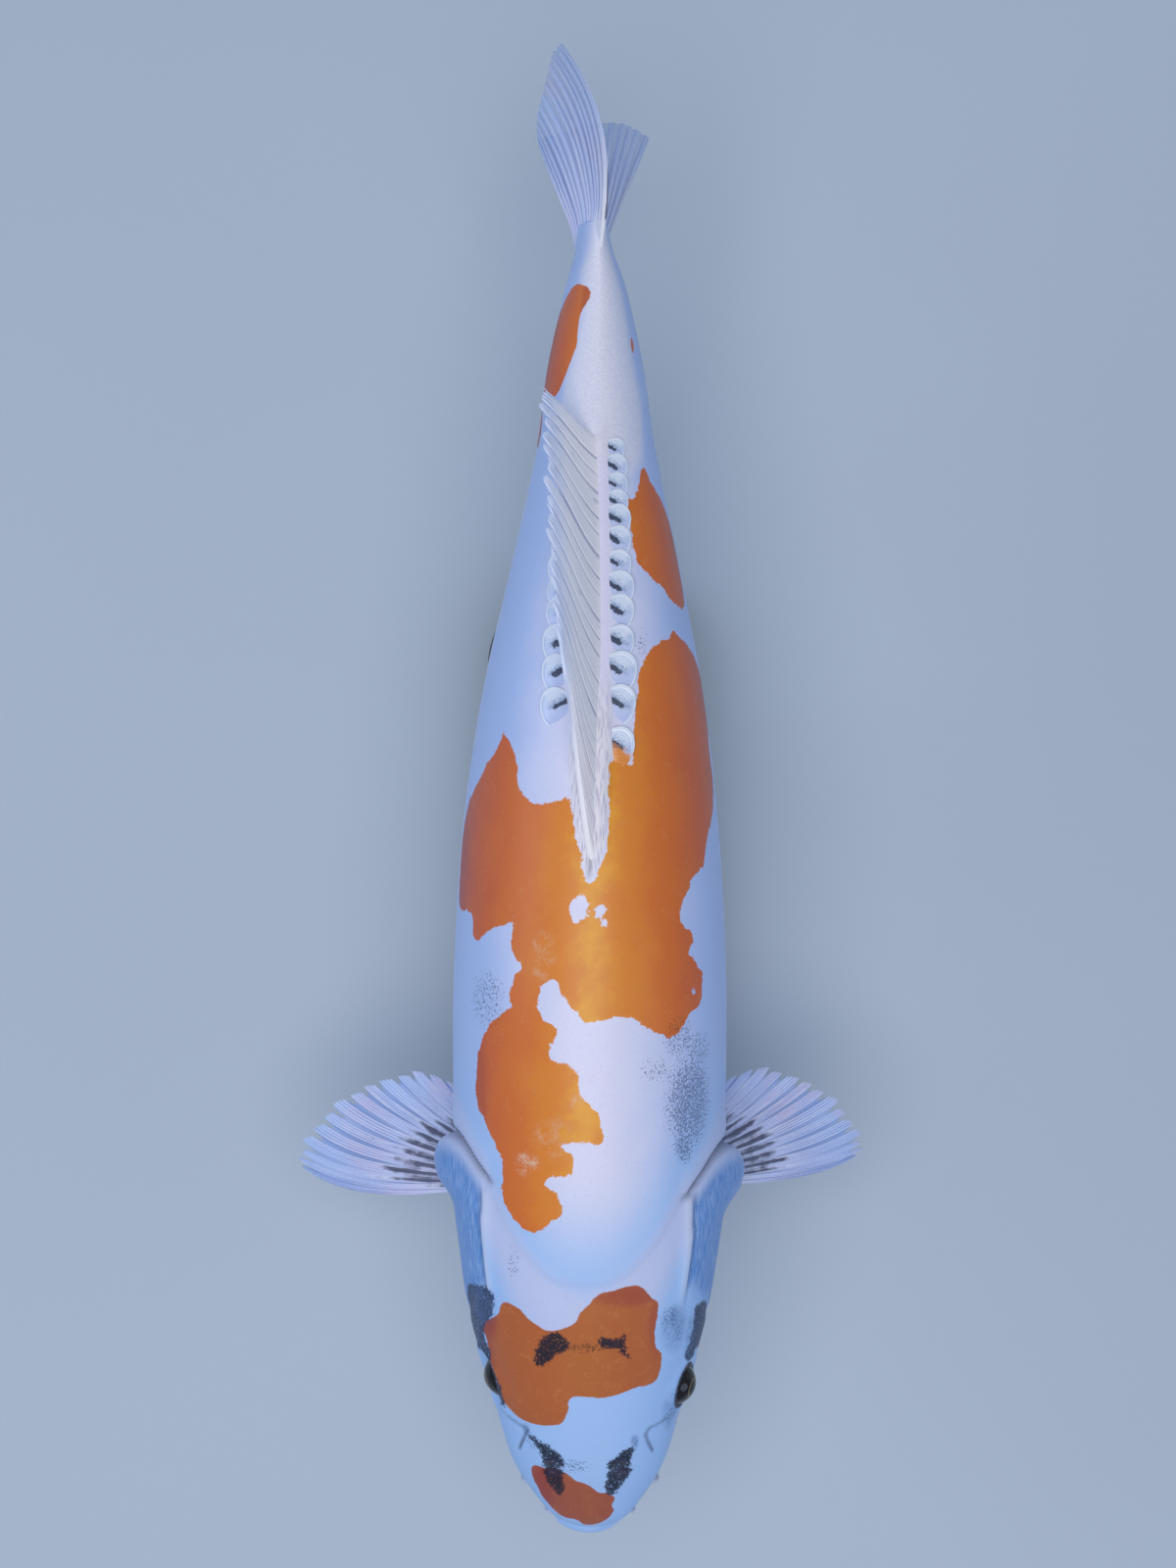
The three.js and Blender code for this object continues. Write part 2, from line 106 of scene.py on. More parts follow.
def along(values, t):
    """Value at t of a smooth line through evenly spaced values, which runs on straight past its ends."""
    values = np.array(values, float)
    padded = np.concatenate([[2 * values[0] - values[1]], values, [2 * values[-1] - values[-2]]])
    place = t * (len(values) - 1)
    start = np.clip(np.floor(place).astype(int), 0, len(values) - 2)
    return spline(*(padded[start + step] for step in range(4)), place - start)


def unit(vectors):
    return vectors / np.maximum(np.linalg.norm(vectors, axis=-1, keepdims=True), 1e-12)


# ---- The body: sections from the snout back, as in the solid model ----
# at: distance from the snout. half: half width. top, bottom: profile heights.
# widest: height of the widest point. square: 2 is an ellipse, more is boxier.
# roll: degrees towards the left side. shift: sideways bend.
SECTIONS = [
    [0, 0, -1, -1, -1, 2, -1.5, 0],
    [0.68, 2.35, 0.6, -2.5, -1.1, 2, -1.5, 0],
    [2.34, 4, 2.1, -4, -1.2, 2.05, -1.5, -0.05],
    [5.45, 5.9, 4.3, -5.7, -1.3, 2.15, -1.5, -0.12],
    [10.1, 7.3, 6.6, -7.4, -1.4, 2.25, -1.5, -0.15],
    [16.8, 9.2, 9.2, -9.4, -1.4, 2.2, -1.5, -0.15],
    [23.6, 10.15, 11.3, -10.9, -1.1, 2.1, -1, -0.1],
    [31.4, 10.44, 12.8, -12.1, -0.7, 2.05, -0.5, -0.05],
    [42.5, 10.5, 13.9, -12.9, -0.4, 2.05, 0, 0],
    [54.6, 9.8, 13.6, -12.6, -0.2, 2.05, 1.5, 0.05],
    [65.2, 8.35, 11.7, -10.9, 0, 2, 3, 0.2],
    [74.3, 6.45, 9.4, -8.5, 0, 2, 3, 0.38],
    [83.4, 4.55, 7.2, -6.4, 0, 1.95, 3, 0.45],
    [89.4, 3.72, 6.2, -5.6, 0, 1.9, 2, 0.42],
    [95.3, 2.42, 5.8, -5.4, 0, 1.85, 3, 0.42],
    [98.1, 1.52, 5.8, -5.5, 0, 1.85, 4, 0.26],
    [STEM_END, 1.2, 5.9, -5.6, 0, 1.85, 5, 0.12],
]
LAST = len(SECTIONS) - 1


def padded_rows():
    """The table with a row before the snout, which is the next row turned over, and one past the end."""
    rows = np.array(SECTIONS, float)
    before = rows[1] * [1, -1, 1, 1, 1, 1, 1, 1]
    before[[2, 3]] = before[[3, 2]]
    return np.vstack([before, rows, 2 * rows[-1] - rows[-2]])


ROWS = padded_rows()


def sections(place):
    """The table's columns at places counted in its rows."""
    place = np.asarray(place, float)
    start = np.clip(np.floor(place).astype(int), 0, LAST - 1)
    found = spline(*(ROWS[start + step] for step in range(4)), (place - start)[..., None])
    return np.moveaxis(found, -1, 0)


FINE_PLACES = np.linspace(0, LAST, 6001)  # fine enough to turn a distance from the snout into a place


def place_at(at):
    """The place in the table that lies at a distance from the snout."""
    return np.interp(at, sections(FINE_PLACES)[0], FINE_PLACES)


def skin_points(place, angle):
    """Points of the bare body. The angle is 0 on the back, a quarter turn on the left side."""
    at, half, top, bottom, widest, square, roll, shift = sections(place)
    sine, cosine = np.sin(angle), np.cos(angle)
    across = half * np.sign(sine) * np.abs(sine) ** (2 / square)
    reach = np.where(cosine > 0, top - widest, widest - bottom)
    up = widest + reach * np.sign(cosine) * np.abs(cosine) ** (2 / square)
    roll = np.radians(roll)
    sideways = shift + across * np.cos(roll) + up * np.sin(roll)
    return np.stack(np.broadcast_arrays(sideways, at, up * np.cos(roll) - across * np.sin(roll)), -1)


def skin_normals(place, angle):
    """Unit vectors that point out of the bare body."""
    step = 0.01
    around = skin_points(place, angle + step) - skin_points(place, angle - step)
    lengthwise = skin_points(place + step, angle) - skin_points(place - step, angle)
    return unit(np.cross(around, lengthwise))


def lifted_skin(at, angle, lift):
    """Points a little above the bare body."""
    place = place_at(at)
    return skin_points(place, angle) + skin_normals(place, angle) * np.asarray(lift)[..., None]


def girth_to(at, angle):
    """Length over the skin from the back to this angle, negative on the right side."""
    turns = np.linspace(0, 1, 90)[:, None] * angle
    ring = skin_points(place_at(at), turns)
    return np.sign(angle) * np.linalg.norm(np.diff(ring, axis=0), axis=-1).sum(0)


# ---- Mesh making ----
SHARP = math.radians(65)  # edges that turn more than this are shaded as edges


def quads(grid):
    """The four corners of every cell of a grid of numbers, in order round the cell."""
    return np.stack([grid[:-1, :-1], grid[:-1, 1:], grid[1:, 1:], grid[1:, :-1]], -1).reshape(-1, 4)


class Shell:
    """Gathers grids of points, with values at each vertex, into one closed piece."""

    def __init__(self):
        self.points, self.faces, self.uvs, self.values = [], [], [], []
        self.count = 0

    def add_grid(self, points, wrap=False, area=(0, 0, 1, 1), **values):
        """Adds rows x columns of points, in percent. area is the grid's place on the UV map."""
        rows, columns = points.shape[:2]
        index = np.arange(rows * columns).reshape(rows, columns) + self.count
        if wrap:
            index = np.hstack([index, index[:, :1]])
        u0, v0, u1, v1 = area
        u, v = np.meshgrid(np.linspace(u0, u1, index.shape[1]), np.linspace(v0, v1, rows))
        self.faces.append(quads(index))
        self.uvs.append(np.stack([quads(u), quads(v)], -1).reshape(-1, 2))
        self.points.append(points.reshape(-1, 3))
        self.values.append({key: np.broadcast_to(value, points.shape[:2]).ravel()
                            for key, value in values.items()})
        self.count += rows * columns

    def piece(self, name, material, slot, *replaced):
        """Welds the grids into one mesh, with an attribute for each value, and puts it in the scene."""
        mesh = bpy.data.meshes.new(name)
        points = np.vstack(self.points)
        mesh.from_pydata(placed(points).tolist(), [], np.vstack(self.faces).tolist())
        layer = mesh.uv_layers.new(name="OFBake")
        layer.data.foreach_set("uv", np.vstack(self.uvs).astype(np.float32).ravel())
        for key in sorted({key for patch in self.values for key in patch}):
            column = [patch.get(key, np.zeros(len(block)))
                      for patch, block in zip(self.values, self.points)]
            attribute = mesh.attributes.new(key, "FLOAT", "POINT")
            attribute.data.foreach_set("value", np.concatenate(column).astype(np.float32))
        weld(mesh)
        mesh.shade_smooth()
        mesh.set_sharp_from_angle(angle=SHARP)
        return dress(mesh, name, material, replaced)


def weld(mesh, distance=2e-6):
    """Joins the vertices that lie on each other and turns every face out."""
    work = bmesh.new()
    work.from_mesh(mesh)
    bmesh.ops.remove_doubles(work, verts=work.verts, dist=distance)
    bmesh.ops.recalc_face_normals(work, faces=work.faces)
    work.to_mesh(mesh)
    work.free()


def dress(mesh, name, material, replaced):
    """Puts a mesh in the scene as a piece that stands for CAD nodes."""
    mesh.materials.append(material)
    piece = bpy.data.objects.new(name, mesh)
    bpy.context.collection.objects.link(piece)
    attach(piece, "root")
    if replaced:
        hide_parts(*replaced)
    return piece


# ---- Markings: closed outlines on the skin, (at, girth), girth being the way round from the back ----
NOSE_PATCH = [
    (5.7, -4.1), (5.4, -4.7), (4.4, -4.6), (2.9, -4), (1.8, -3), (1.2, -2.1), (1, -1.1), (0.6, -0.4),
    (0.6, 0.5), (1.2, 1.5), (1.9, 2), (2.4, 1.8), (3, 2.1), (3.5, 1.5), (3.7, 0.8), (4.4, -0.1),
    (4.7, -0.9), (5.3, -1.7), (5.5, -3),
]
HEAD_PATCH = [
    (18.9, -6.5), (18.5, -7), (17.8, -7.3), (17.4, -8.1), (16.9, -9.2), (16.2, -9.8), (15.7, -9.2),
    (13.7, -8.7), (11.9, -7.6), (10.8, -7.3), (10.1, -6.6), (9.6, -5.7), (9.3, -4.6), (9.2, -2.8),
    (9.6, -1.7), (10.6, -1.3), (11.3, -1.3), (11.7, -0.8), (11.6, 0.6), (11.7, 2), (12.3, 4.1),
    (12.5, 5.4), (13.2, 6), (14.7, 6.2), (15.5, 5.6), (16.6, 5.5), (18.7, 5.8), (19.3, 5.2),
    (20.3, 4.3), (20.3, 3), (20, 2), (19.7, 0.9), (19, 0.3), (18.4, -0.4), (17.7, -0.6), (17.2, -1.4),
    (16.9, -2.6), (17.2, -3.5), (17.7, -4.3), (18.4, -5.1), (18.7, -5.7),
]
SHOULDER_PATCH = [
    (40.6, -7.4), (41.1, -5.8), (41.3, -4.1), (40.4, -3.5), (39.5, -2.2), (38.7, -2.7), (37.6, -3),
    (37, -1.4), (36.2, -0.7), (34.8, -0.6), (34.2, 0.1), (33.2, 0.8), (32, 1.1), (31.2, 1.2),
    (31.3, 0.2), (31.1, -2), (30.3, -1.1), (29.4, -1), (28.8, -1.4), (28.6, -2.8), (28, -3.2),
    (27.4, -2.2), (26.3, -1.9), (25.5, -2.2), (24.7, -3.5), (24.4, -4.4), (25.2, -5.6), (26.4, -6.7),
    (27.6, -7), (29.3, -7), (30.3, -7.5), (32, -8.8), (33.8, -10.3), (35.5, -10.5), (37.8, -10.1),
    (39.2, -9.2),
]
SADDLE = [
    (40.9, -4.2), (42.5, -3.8), (43.2, -3.2), (43, -2.5), (42.1, -2.1), (40.8, -0.9), (40.1, 0),
    (40.3, 1.2), (40.6, 2.2), (40.4, 3.2), (39.4, 5), (38.9, 6.8), (39.7, 8.1), (40.6, 8.8),
    (40.8, 9.7), (42, 10.4), (43.4, 10.4), (44.5, 9.3), (45.2, 8.3), (45.8, 9), (46.7, 8.8),
    (47, 7.8), (48.6, 7.5), (49.8, 8.5), (50.6, 8.8), (51.5, 10.8), (53.4, 11.6), (55.4, 13.4),
    (58, 14.6), (60.2, 13.9), (63.1, 15.2), (65.2, 14.4), (67.1, 11.2), (68.6, 7.7), (69.1, 6.8),
    (68.6, 6.3), (67.9, 4.7), (67, 3.5), (65.3, 2.9), (61.6, 2.6), (59.3, 2.6), (59, 2.4),
    (59.2, 0.8), (56.5, 0.9), (53.2, 0.9), (51.8, 0.6), (50.2, -0.3), (53, -1.2), (56.4, -2),
    (56.2, -3), (56.1, -4.9), (57.2, -6.5), (58.6, -6.6), (60.1, -7.4), (61.3, -8.5), (60.7, -9.1),
    (59.6, -10), (58.9, -11.2), (57.5, -12.8), (55.9, -15.2), (53.3, -16.9), (49, -16.5),
    (48, -15.3), (48, -13.3), (47.6, -11.9), (46.3, -11.6), (45.8, -10.6), (46.7, -9), (47.3, -6.7),
    (48, -6.1), (47.1, -6.4), (45.9, -6.5), (44.6, -6), (44, -5.4), (43.2, -6.2), (41.7, -6.4),
    (40.9, -5.8),
]
REAR_PATCH = [
    (81.4, 4), (80.4, 4.8), (79.8, 5.8), (78.3, 7.8), (76.5, 9.4), (74.3, 10.1), (71.5, 10.3),
    (70.7, 9.2), (70.9, 8.3), (71.1, 7), (72, 5.9), (72.9, 4.3), (73.9, 2.9), (75.3, 2.5),
    (77.9, 2), (78.6, 1.9), (78.9, 2.8), (79.8, 3.2), (80.9, 3.6),
]
TAIL_PATCH = [
    (95.3, -2), (95, -1.1), (94.5, -0.7), (94, -0.8), (93.4, -1.3), (92.7, -1.7), (90.9, -1.8),
    (90.1, -2), (88.7, -2.8), (87.9, -3.3), (86.9, -4.3), (86.9, -6.5), (87.8, -8.8), (90, -8.6),
    (92, -7.5), (93.6, -6), (94.7, -4.4), (95.3, -3),
]
ORANGE = [NOSE_PATCH, HEAD_PATCH, SHOULDER_PATCH, SADDLE, REAR_PATCH, TAIL_PATCH]
# Ovals are (at, girth, half length, half width).
ORANGE_SPOTS = [(90.8, 3.75, 0.65, 0.3), (44.3, -7.1, 0.14, 0.1), (84.9, -8.4, 1.6, 0.9)]
WHITE_SPOTS = [(48.4, -1, 0.95, 0.68), (48.2, 0.5, 0.5, 0.45), (42.1, 9.2, 0.3, 0.2),
               (47.4, 0.9, 0.2, 0.3)]
# Pale places in the orange, (at, girth, half length, half width, strength).
FAINT_SPOTS = [
    (45.9, -3.7, 0.7, 0.6, 0.5), (44.2, -3.6, 0.8, 0.7, 0.35), (29.6, -4.7, 0.7, 0.8, 0.6),
    (31.6, -2.6, 1.2, 1.2, 0.25), (34.3, -0.8, 0.5, 0.4, 0.5),
]

BLACK = [
    [(16.7, -2.6), (16.6, -1.8), (15.7, -1.2), (15.1, -2.1), (14.4, -2.7), (14.1, -3.6), (14.7, -3.8),
     (16, -3.4)],
    [(16.3, 1.1), (16.2, 2.3), (16.6, 3), (15.7, 3), (14.7, 3.5), (15, 2.9), (15.5, 2.3), (15.6, 1.3)],
    [(8.2, -4.6), (7.5, -3), (6.9, -2.1), (6.2, -1.8), (5.8, -1.9), (5.8, -3.2), (6.4, -3.5),
     (7.3, -3.9)],
    [(5.5, -3.5), (5.5, -2), (4.5, -1.9), (3.6, -1.9), (3.3, -2.3), (3.6, -2.6), (4.4, -3.1)],
    [(7.4, 3.7), (6.5, 3.5), (5.8, 3.2), (5.8, 1.7), (6.2, 1.8), (6.5, 2.3), (7.1, 2.8)],
    [(5.5, 3.5), (4.8, 3.1), (4.2, 2.6), (3.5, 2.1), (3.4, 1.6), (4.1, 1.3), (4.8, 1.6), (5.5, 1.9)],
    [(19.3, -12.4), (19.7, -9.7), (19.6, -8), (17.8, -7.9), (17, -8.7), (16.4, -9.5), (15.5, -9.4),
     (14.5, -8.8), (13.1, -8.4), (12.1, -7.4), (10.4, -7.2), (10.6, -8.5), (12.1, -9.6), (13, -10.4),
     (14.1, -11.2), (15, -12.3), (16, -13.6), (17.7, -13.2)],
    [(17.7, 10.1), (18.1, 11), (17.9, 13.2), (16, 14.6), (14, 14.4), (14.4, 11.6), (13.6, 9.9),
     (14.2, 9.2), (15.1, 9.7), (16.4, 10.1)],
    [(9.4, 10.6), (8.8, 11.7), (7.2, 11.1), (7.6, 10.2)],
]
# Clouds of fine dots are (at, girth, half length, half width, density).
CLOUDS = [
    (33.9, 9, 3, 2.4, 0.75), (37.6, 10, 1.3, 1.5, 0.5), (30.7, 8.2, 1.1, 1, 0.7),
    (36.6, 5.2, 0.9, 1.1, 0.35), (38.8, 7.6, 1.3, 1.4, 0.5), (41.6, -9.2, 1.9, 1.9, 0.42),
    (5.9, -1, 0.5, 1.1, 0.45), (22, -5.8, 1.2, 0.5, 0.3), (15.6, 0, 0.35, 1.3, 0.6),
    (68, 3.2, 1, 0.45, 0.3), (17.6, 6.9, 0.7, 0.8, 0.5), (7.7, -4.3, 0.5, 0.5, 0.5),
]
# Painted blue shade in the skin, soft and mottled, partly the skin's own blue clouds: (at, girth, half
# length, half width, strength).
BLUE_SHADOWS = [
    (16.7, 7.5, 1.5, 1.2, 0.75), (10, 7.6, 1.3, 0.9, 0.6), (15.8, 9.7, 1.6, 0.7, 0.5),
    (18.4, -9.8, 1.4, 1.8, 0.4), (7.8, 3.8, 0.5, 0.3, 0.7), (8.6, -4.9, 0.5, 0.3, 0.6),
]
# Where the orange is redder, (at, girth, half length, half width, strength).
RED_SHADES = [
    (17.2, -9, 1.6, 1.3, 1), (19.6, 3.4, 0.7, 2.4, 0.7), (17, 5.6, 2, 0.6, 0.5),
    (3.4, -3.9, 2, 0.9, 0.9), (13, -9, 3, 0.9, 0.6), (93, -1, 2.5, 0.5, 0.6),
    (33, -10.3, 6, 1.2, 0.5),
]
# Where the tail stem is granular and faintly pink.
PINK_STEM = [
    (101, 0.4), (99.7, -0.1), (98.5, -0.8), (97.3, -1.5), (96.1, -2.2), (92.2, -1.6), (90, -2.2),
    (87.5, -3.3), (84.5, -4), (82, -1), (80.5, 1.5), (81.9, 4), (85.8, 4.6), (88, 4.2), (90.2, 3.6),
    (92.5, 3.3), (94.7, 2.9), (96.1, 2.2), (97.4, 1.7), (98.6, 1.4), (99.8, 0.9),
]
OUTSIDE = -3.0  # how far outside an outline its distance is still worked out


def smooth_loop(points, steps=4):
    """A closed outline through the points, with steps places for each."""
    here = np.array(points, float)[:, None]
    a, c, d = (np.roll(here, shift, axis=0) for shift in (1, -1, -2))
    t = (np.arange(steps) / steps)[None, :, None]
    return spline(a, here, c, d, t).reshape(-1, 2)


def depth_inside(loop, where):
    """How far inside the loop each place is, in percent, negative outside."""
    depth = np.full(len(where), OUTSIDE)
    near = np.all((where > loop.min(0) + OUTSIDE) & (where < loop.max(0) - OUTSIDE), axis=1)
    where = where[near]
    nearest = np.full(len(where), -OUTSIDE)
    inside = np.zeros(len(where), bool)
    for start, end in zip(loop, np.roll(loop, -1, axis=0)):
        side, offset = end - start, where - start
        share = np.clip(offset @ side / (side @ side), 0, 1)
        nearest = np.minimum(nearest, np.linalg.norm(offset - share[:, None] * side, axis=1))
        crossed = (offset[:, 1] < 0) != (where[:, 1] < end[1])
        if side[1]:
            inside ^= crossed & (offset[:, 0] < side[0] * offset[:, 1] / side[1])
    depth[near] = np.where(inside, nearest, -nearest)
    return depth


def oval_ratio(oval, where):
    """0 in the middle of the oval and 1 on its edge."""
    return np.hypot((where[:, 0] - oval[0]) / oval[2], (where[:, 1] - oval[1]) / oval[3])


def oval_depth(oval, where):
    """About how far inside the oval each place is, in percent."""
    return np.maximum((1 - oval_ratio(oval, where)) * min(oval[2:4]), OUTSIDE)


def clouded(ovals, where):
    """Density of soft-edged ovals whose last number is how dense each is."""
    return np.max([oval[-1] * smooth(1.6 - oval_ratio(oval, where), 0, 1) for oval in ovals], axis=0)


def markings(at, girth):
    """Depth in the orange and the black, in percent, and how strong each soft marking is."""
    where = np.stack([at.ravel(), girth.ravel()], -1)
    orange = np.max([depth_inside(smooth_loop(patch), where) for patch in ORANGE]
                    + [oval_depth(spot, where) for spot in ORANGE_SPOTS], axis=0)
    orange = np.min([orange] + [-oval_depth(spot, where) for spot in WHITE_SPOTS], axis=0)
    black = np.max([depth_inside(smooth_loop(patch), where) for patch in BLACK], axis=0)
    soft = {"dots": CLOUDS, "pale": FAINT_SPOTS, "bruise": BLUE_SHADOWS, "red": RED_SHADES}
    found = {name: clouded(ovals, where) for name, ovals in soft.items()}
    found |= {"orange": orange, "black": black}
    found["pink"] = smooth(depth_inside(smooth_loop(PINK_STEM), where), -0.5, 0.9)
    return {name: values.reshape(at.shape) for name, values in found.items()}


# ---- The skin's relief, in percent, outwards ----
MIDLINE = -0.25  # how far the head's midline lies aside, as it rolls a little
MOUTH = {"up": -1.35, "sag": 0.09, "half": 2.7, "back": 3.4, "slit": 0.11}
# What runs along the mouth's line: distance above it, height and half width, from the upper fold down.
MOUTH_FOLDS = [(1.05, -0.13, 0.16), (0.42, 0.36, 0.33), (0, -0.5, MOUTH["slit"]), (-0.42, 0.3, 0.33),
               (-1, -0.1, 0.16)]
NOSTRIL = {"aside": 2.6, "half": 0.5, "flap": 5.8, "front": (5.35, 0.4), "rear": (6.25, 0.28)}
# The groove from each eye to the snout, through places (at, girth).
GROOVES = [
    [(10, 8.4), (9.3, 7.5), (8.8, 5.2), (8.3, 4.8), (7.6, 5.1), (6.8, 5.6)],
    [(10, -8.2), (9.4, -7.2), (8.9, -5.4), (8.6, -4.8), (7.8, -5.3), (6.9, -5.9)],
]
# The nape: the border of the skull's thin skin, at for each girth, up to the gill opening.
NAPE_GIRTH = [0, 1.6, 3.1, 4.5, 5.7, 7, 8, 8.8]
NAPE_AT = [20.4, 20.5, 21.1, 22.4, 23.6, 25.3, 26.6, 27.3]
# The gill cover's rear edge and the line that it hinges on, from top to bottom in even steps of angle.
GILL = {"top": 44, "bottom": 180, "rear": [27.2, 30, 30.2, 28.4, 23.2, 17.6, 14.6], "skew": 0.6,
        "fold_top": 52, "fold_bottom": 148, "fold": [19.6, 17.4, 16.3, 15, 12.5], "flare": 1.7}


def gill_distance(at, angle, side):
    """How far behind the gill cover's rear edge a place is."""
    down = np.clip((angle - GILL["top"]) / (GILL["bottom"] - GILL["top"]), 0, 1)
    return at - along(GILL["rear"], down) + GILL["skew"] * side * (1 - down)


def head_distance(at, angle, girth, side):
    """How far in front of the border of the head's skin a place is."""
    border = np.interp(np.abs(girth), NAPE_GIRTH, NAPE_AT)
    return np.where(np.abs(angle) < GILL["top"], border - at, -gill_distance(at, np.abs(angle), side))


def mouth_relief(across, at, up):
    """The relief of the lips and how far into the slit between them each place is."""
    off = up - MOUTH["up"] + MOUTH["sag"] * (across - MIDLINE) ** 2
    here = fall(np.abs(across), MOUTH["half"] - 0.5, MOUTH["half"] + 0.3)
    here = here * fall(at, MOUTH["back"] - 1.2, MOUTH["back"])
    relief = sum(height * hill(off - place, half) for place, height, half in MOUTH_FOLDS)
    return here * relief, here * hill(off, MOUTH["slit"])


def nostril_relief(across, at, up):
    """A pit on each side of a flap, and how far into the pits each place is, which darkens the skin as
    painted shade.
    """
    relief, hollow = 0, 0
    for side in (-1, 1):
        aside = across - MIDLINE - side * NOSTRIL["aside"]
        front, rear = (hill(np.hypot(aside / NOSTRIL["half"], (at - place) / half), 1)
                       for place, half in (NOSTRIL["front"], NOSTRIL["rear"]))
        flap = hill(at - NOSTRIL["flap"] - 0.12 * aside * side, 0.14) * hill(aside, 0.75)
        top = up > 0
        relief = relief + top * (0.34 * flap - 0.42 * front - 0.26 * rear)
        hollow = np.maximum(hollow, top * np.maximum(front, 0.7 * rear) * (1 - flap))
    return relief, hollow


def groove_relief(at, girth):
    """Grooves that grow deeper from one stretch to the next."""
    groove = 0
    for line in np.array(GROOVES, float):
        for number, (start, end) in enumerate(zip(line, line[1:])):
            offset, span = np.stack([at, girth], -1) - start, end - start
            share = np.clip(offset @ span / (span @ span), 0, 1)
            away = np.linalg.norm(offset - share[..., None] * span, axis=-1)
            groove = np.maximum(groove, hill(away, 0.14) * (0.3 + 0.16 * number))
    return -0.12 * groove, groove


def gill_relief(at, angle, side):
    """The gill cover's relief; its crease and the gutter by the crest, for painted shade; how blue it is
    painted for the blue light and shade on it; and the crest above it, also painted lighter as a highlight.
    """
    behind = gill_distance(at, angle, side)
    here = smooth(angle, GILL["top"] - 4, GILL["top"] + 4)
    ahead_of_edge = 1 - smooth(behind, -0.25, 0.1)
    cover = 0.24 * smooth(behind, -10, -3) * ahead_of_edge
    lobe = np.sqrt(np.clip(1 - (np.maximum(behind + 2, 0) / 2.1) ** 2, 0, 1))
    flare = GILL["flare"] * hill(angle - 100, 24) * smooth(behind, -6, -2) * lobe
    membrane = -0.14 * smooth(behind, -3.4, -2.6) * (behind < 0)
    crease = hill(behind - 0.12, 0.3)
    shoulder = 0.12 * hill(behind - 1.5, 0.9)
    down = (angle - GILL["fold_top"]) / (GILL["fold_bottom"] - GILL["fold_top"])
    ahead = at - along(GILL["fold"], np.clip(down, 0, 1))
    fold = hill(ahead, 0.5) * smooth(down, -0.05, 0.1) * fall(down, 0.9, 1.15)
    run = smooth(at, 17.5, 20.5) * fall(at, 26.8, 27.6)
    # The crest is raised and also painted lighter as a highlight; the gutter beside it is darkened as
    # painted shade.
    crest = hill(angle - 46.5, 1.7) * run
    gutter = hill(angle - 49.8, 1.3) * run
    relief = here * (cover + flare + membrane - 0.34 * crease + shoulder)
    relief = relief - 0.1 * fold + 0.2 * crest - 0.16 * gutter
    # Where the gill cover is painted blue, for the blue light and shade on it.
    blue = here * smooth(angle, 48.5, 50) * smooth(ahead, -0.4, 1.2) * fall(behind, -1.8, -0.3)
    return relief, np.maximum(here * crease, 0.45 * gutter), blue, crest


# The sheath of folded skin round the dorsal fin's front: its middle and half width round the back, by at.
SHEATH = {"at": [50.3, 53, 56.5, 60, 66], "middle": [-0.3, -0.2, -0.5, -0.6, -0.6],
          "half": [0.2, 0.95, 1.45, 1.6, 1.3]}


def sheath_relief(at, girth):
    """The sheath's relief, where it is, and the seam along its middle."""
    middle, half = (np.interp(at, SHEATH["at"], SHEATH[key]) for key in ("middle", "half"))
    share = np.abs(girth - middle) / half
    start = SHEATH["at"][0]
    inside = smooth(at, start, 51.5) * fall(at, 61, 67) * fall(share, 0.85, 1.15)
    ridge = 0.5 * np.sqrt(np.clip(1 - share**2, 0, 1)) * smooth(at, start, 57)
    seam = hill(girth - middle, 0.12) * fall(at, 55, 58) * inside
    return inside * ridge - 0.14 * seam, inside, seam


# Muscles at the roots of the pectoral and pelvic fins, and the vent: (at, degrees round from the back,
# reach lengthwise, reach in degrees).
SWELLINGS = [(31, 124, 1.6, 12), (47.5, 160, 1.8, 9), (75.7, 180, 0.7, 5)]


def small_relief(at, angle, head):
    """The step at the nape, the swellings, and the ridge that the dorsal fin stands on."""
    down = np.abs(angle)
    nape = -0.1 * smooth(head, -0.4, 0.3) * fall(head, 0, 3.5) * (down < GILL["top"] + 6)
    swollen = sum(hill(at - middle, run) * hill(down - turn, spread)
                  for middle, turn, run, spread in SWELLINGS)
    ridge = smooth(at, 60, 64) * fall(at, 83, 85.5) * hill(angle, 6)
    return nape + 0.3 * swollen + 0.14 * ridge


# ---- Eyes ----
EYES = {}
for name, side in (("left", 1), ("right", -1)):
    low, high = corners(f"eye_{name}")
    centre = unplaced((low + high) / 2)
    EYES[name] = {"side": side, "centre": centre, "radius": (high - low).max() / 2 / PERCENT,
                  "axis": unit(np.array([side, -0.26, 0.2 + 0.14 * side]))}
OPENING = 0.87  # the opening of the skin over the ball's radius
RIM_REACH = 0.95  # how far the skin round the eye is drawn to it
TURNS = full_turn(64)
EYE_TILTS = np.linspace(0, np.pi, 33)
RIM_TURNS = np.linspace(0, 2 * np.pi, 13)


def seen_from_eye(points, eye):
    """Height along the eye's axis and distance out from it."""
    offset = points - eye["centre"]
    height = offset @ eye["axis"]
    return height, np.linalg.norm(offset - height[..., None] * eye["axis"], axis=-1)


def draw_to_eyes(points):
    """Sinks the skin under the eyeballs and raises the orbit round them."""
    for eye in EYES.values():
        height, out = seen_from_eye(points, eye)
        opening = OPENING * eye["radius"]
        under = np.sqrt(np.maximum(eye["radius"] ** 2 - np.minimum(out, opening) ** 2, 0)) - 0.3
        edge = math.sqrt(eye["radius"] ** 2 - opening**2) + 0.12
        goal = np.where(out < opening, np.minimum(under, edge), edge)
        weight = (1 - smooth(out, opening, opening + RIM_REACH)) * (height > 0)
        orbit = 0.13 * hill(out - opening - 0.75, 0.4) * (height > 0)
        points = points + ((goal - height) * weight + orbit)[..., None] * eye["axis"]
    return points


def across_axis(axis):
    """Two directions at right angles to the axis, the second one mostly up."""
    first = unit(np.cross([0, 0, 1], axis))
    return first, np.cross(axis, first)


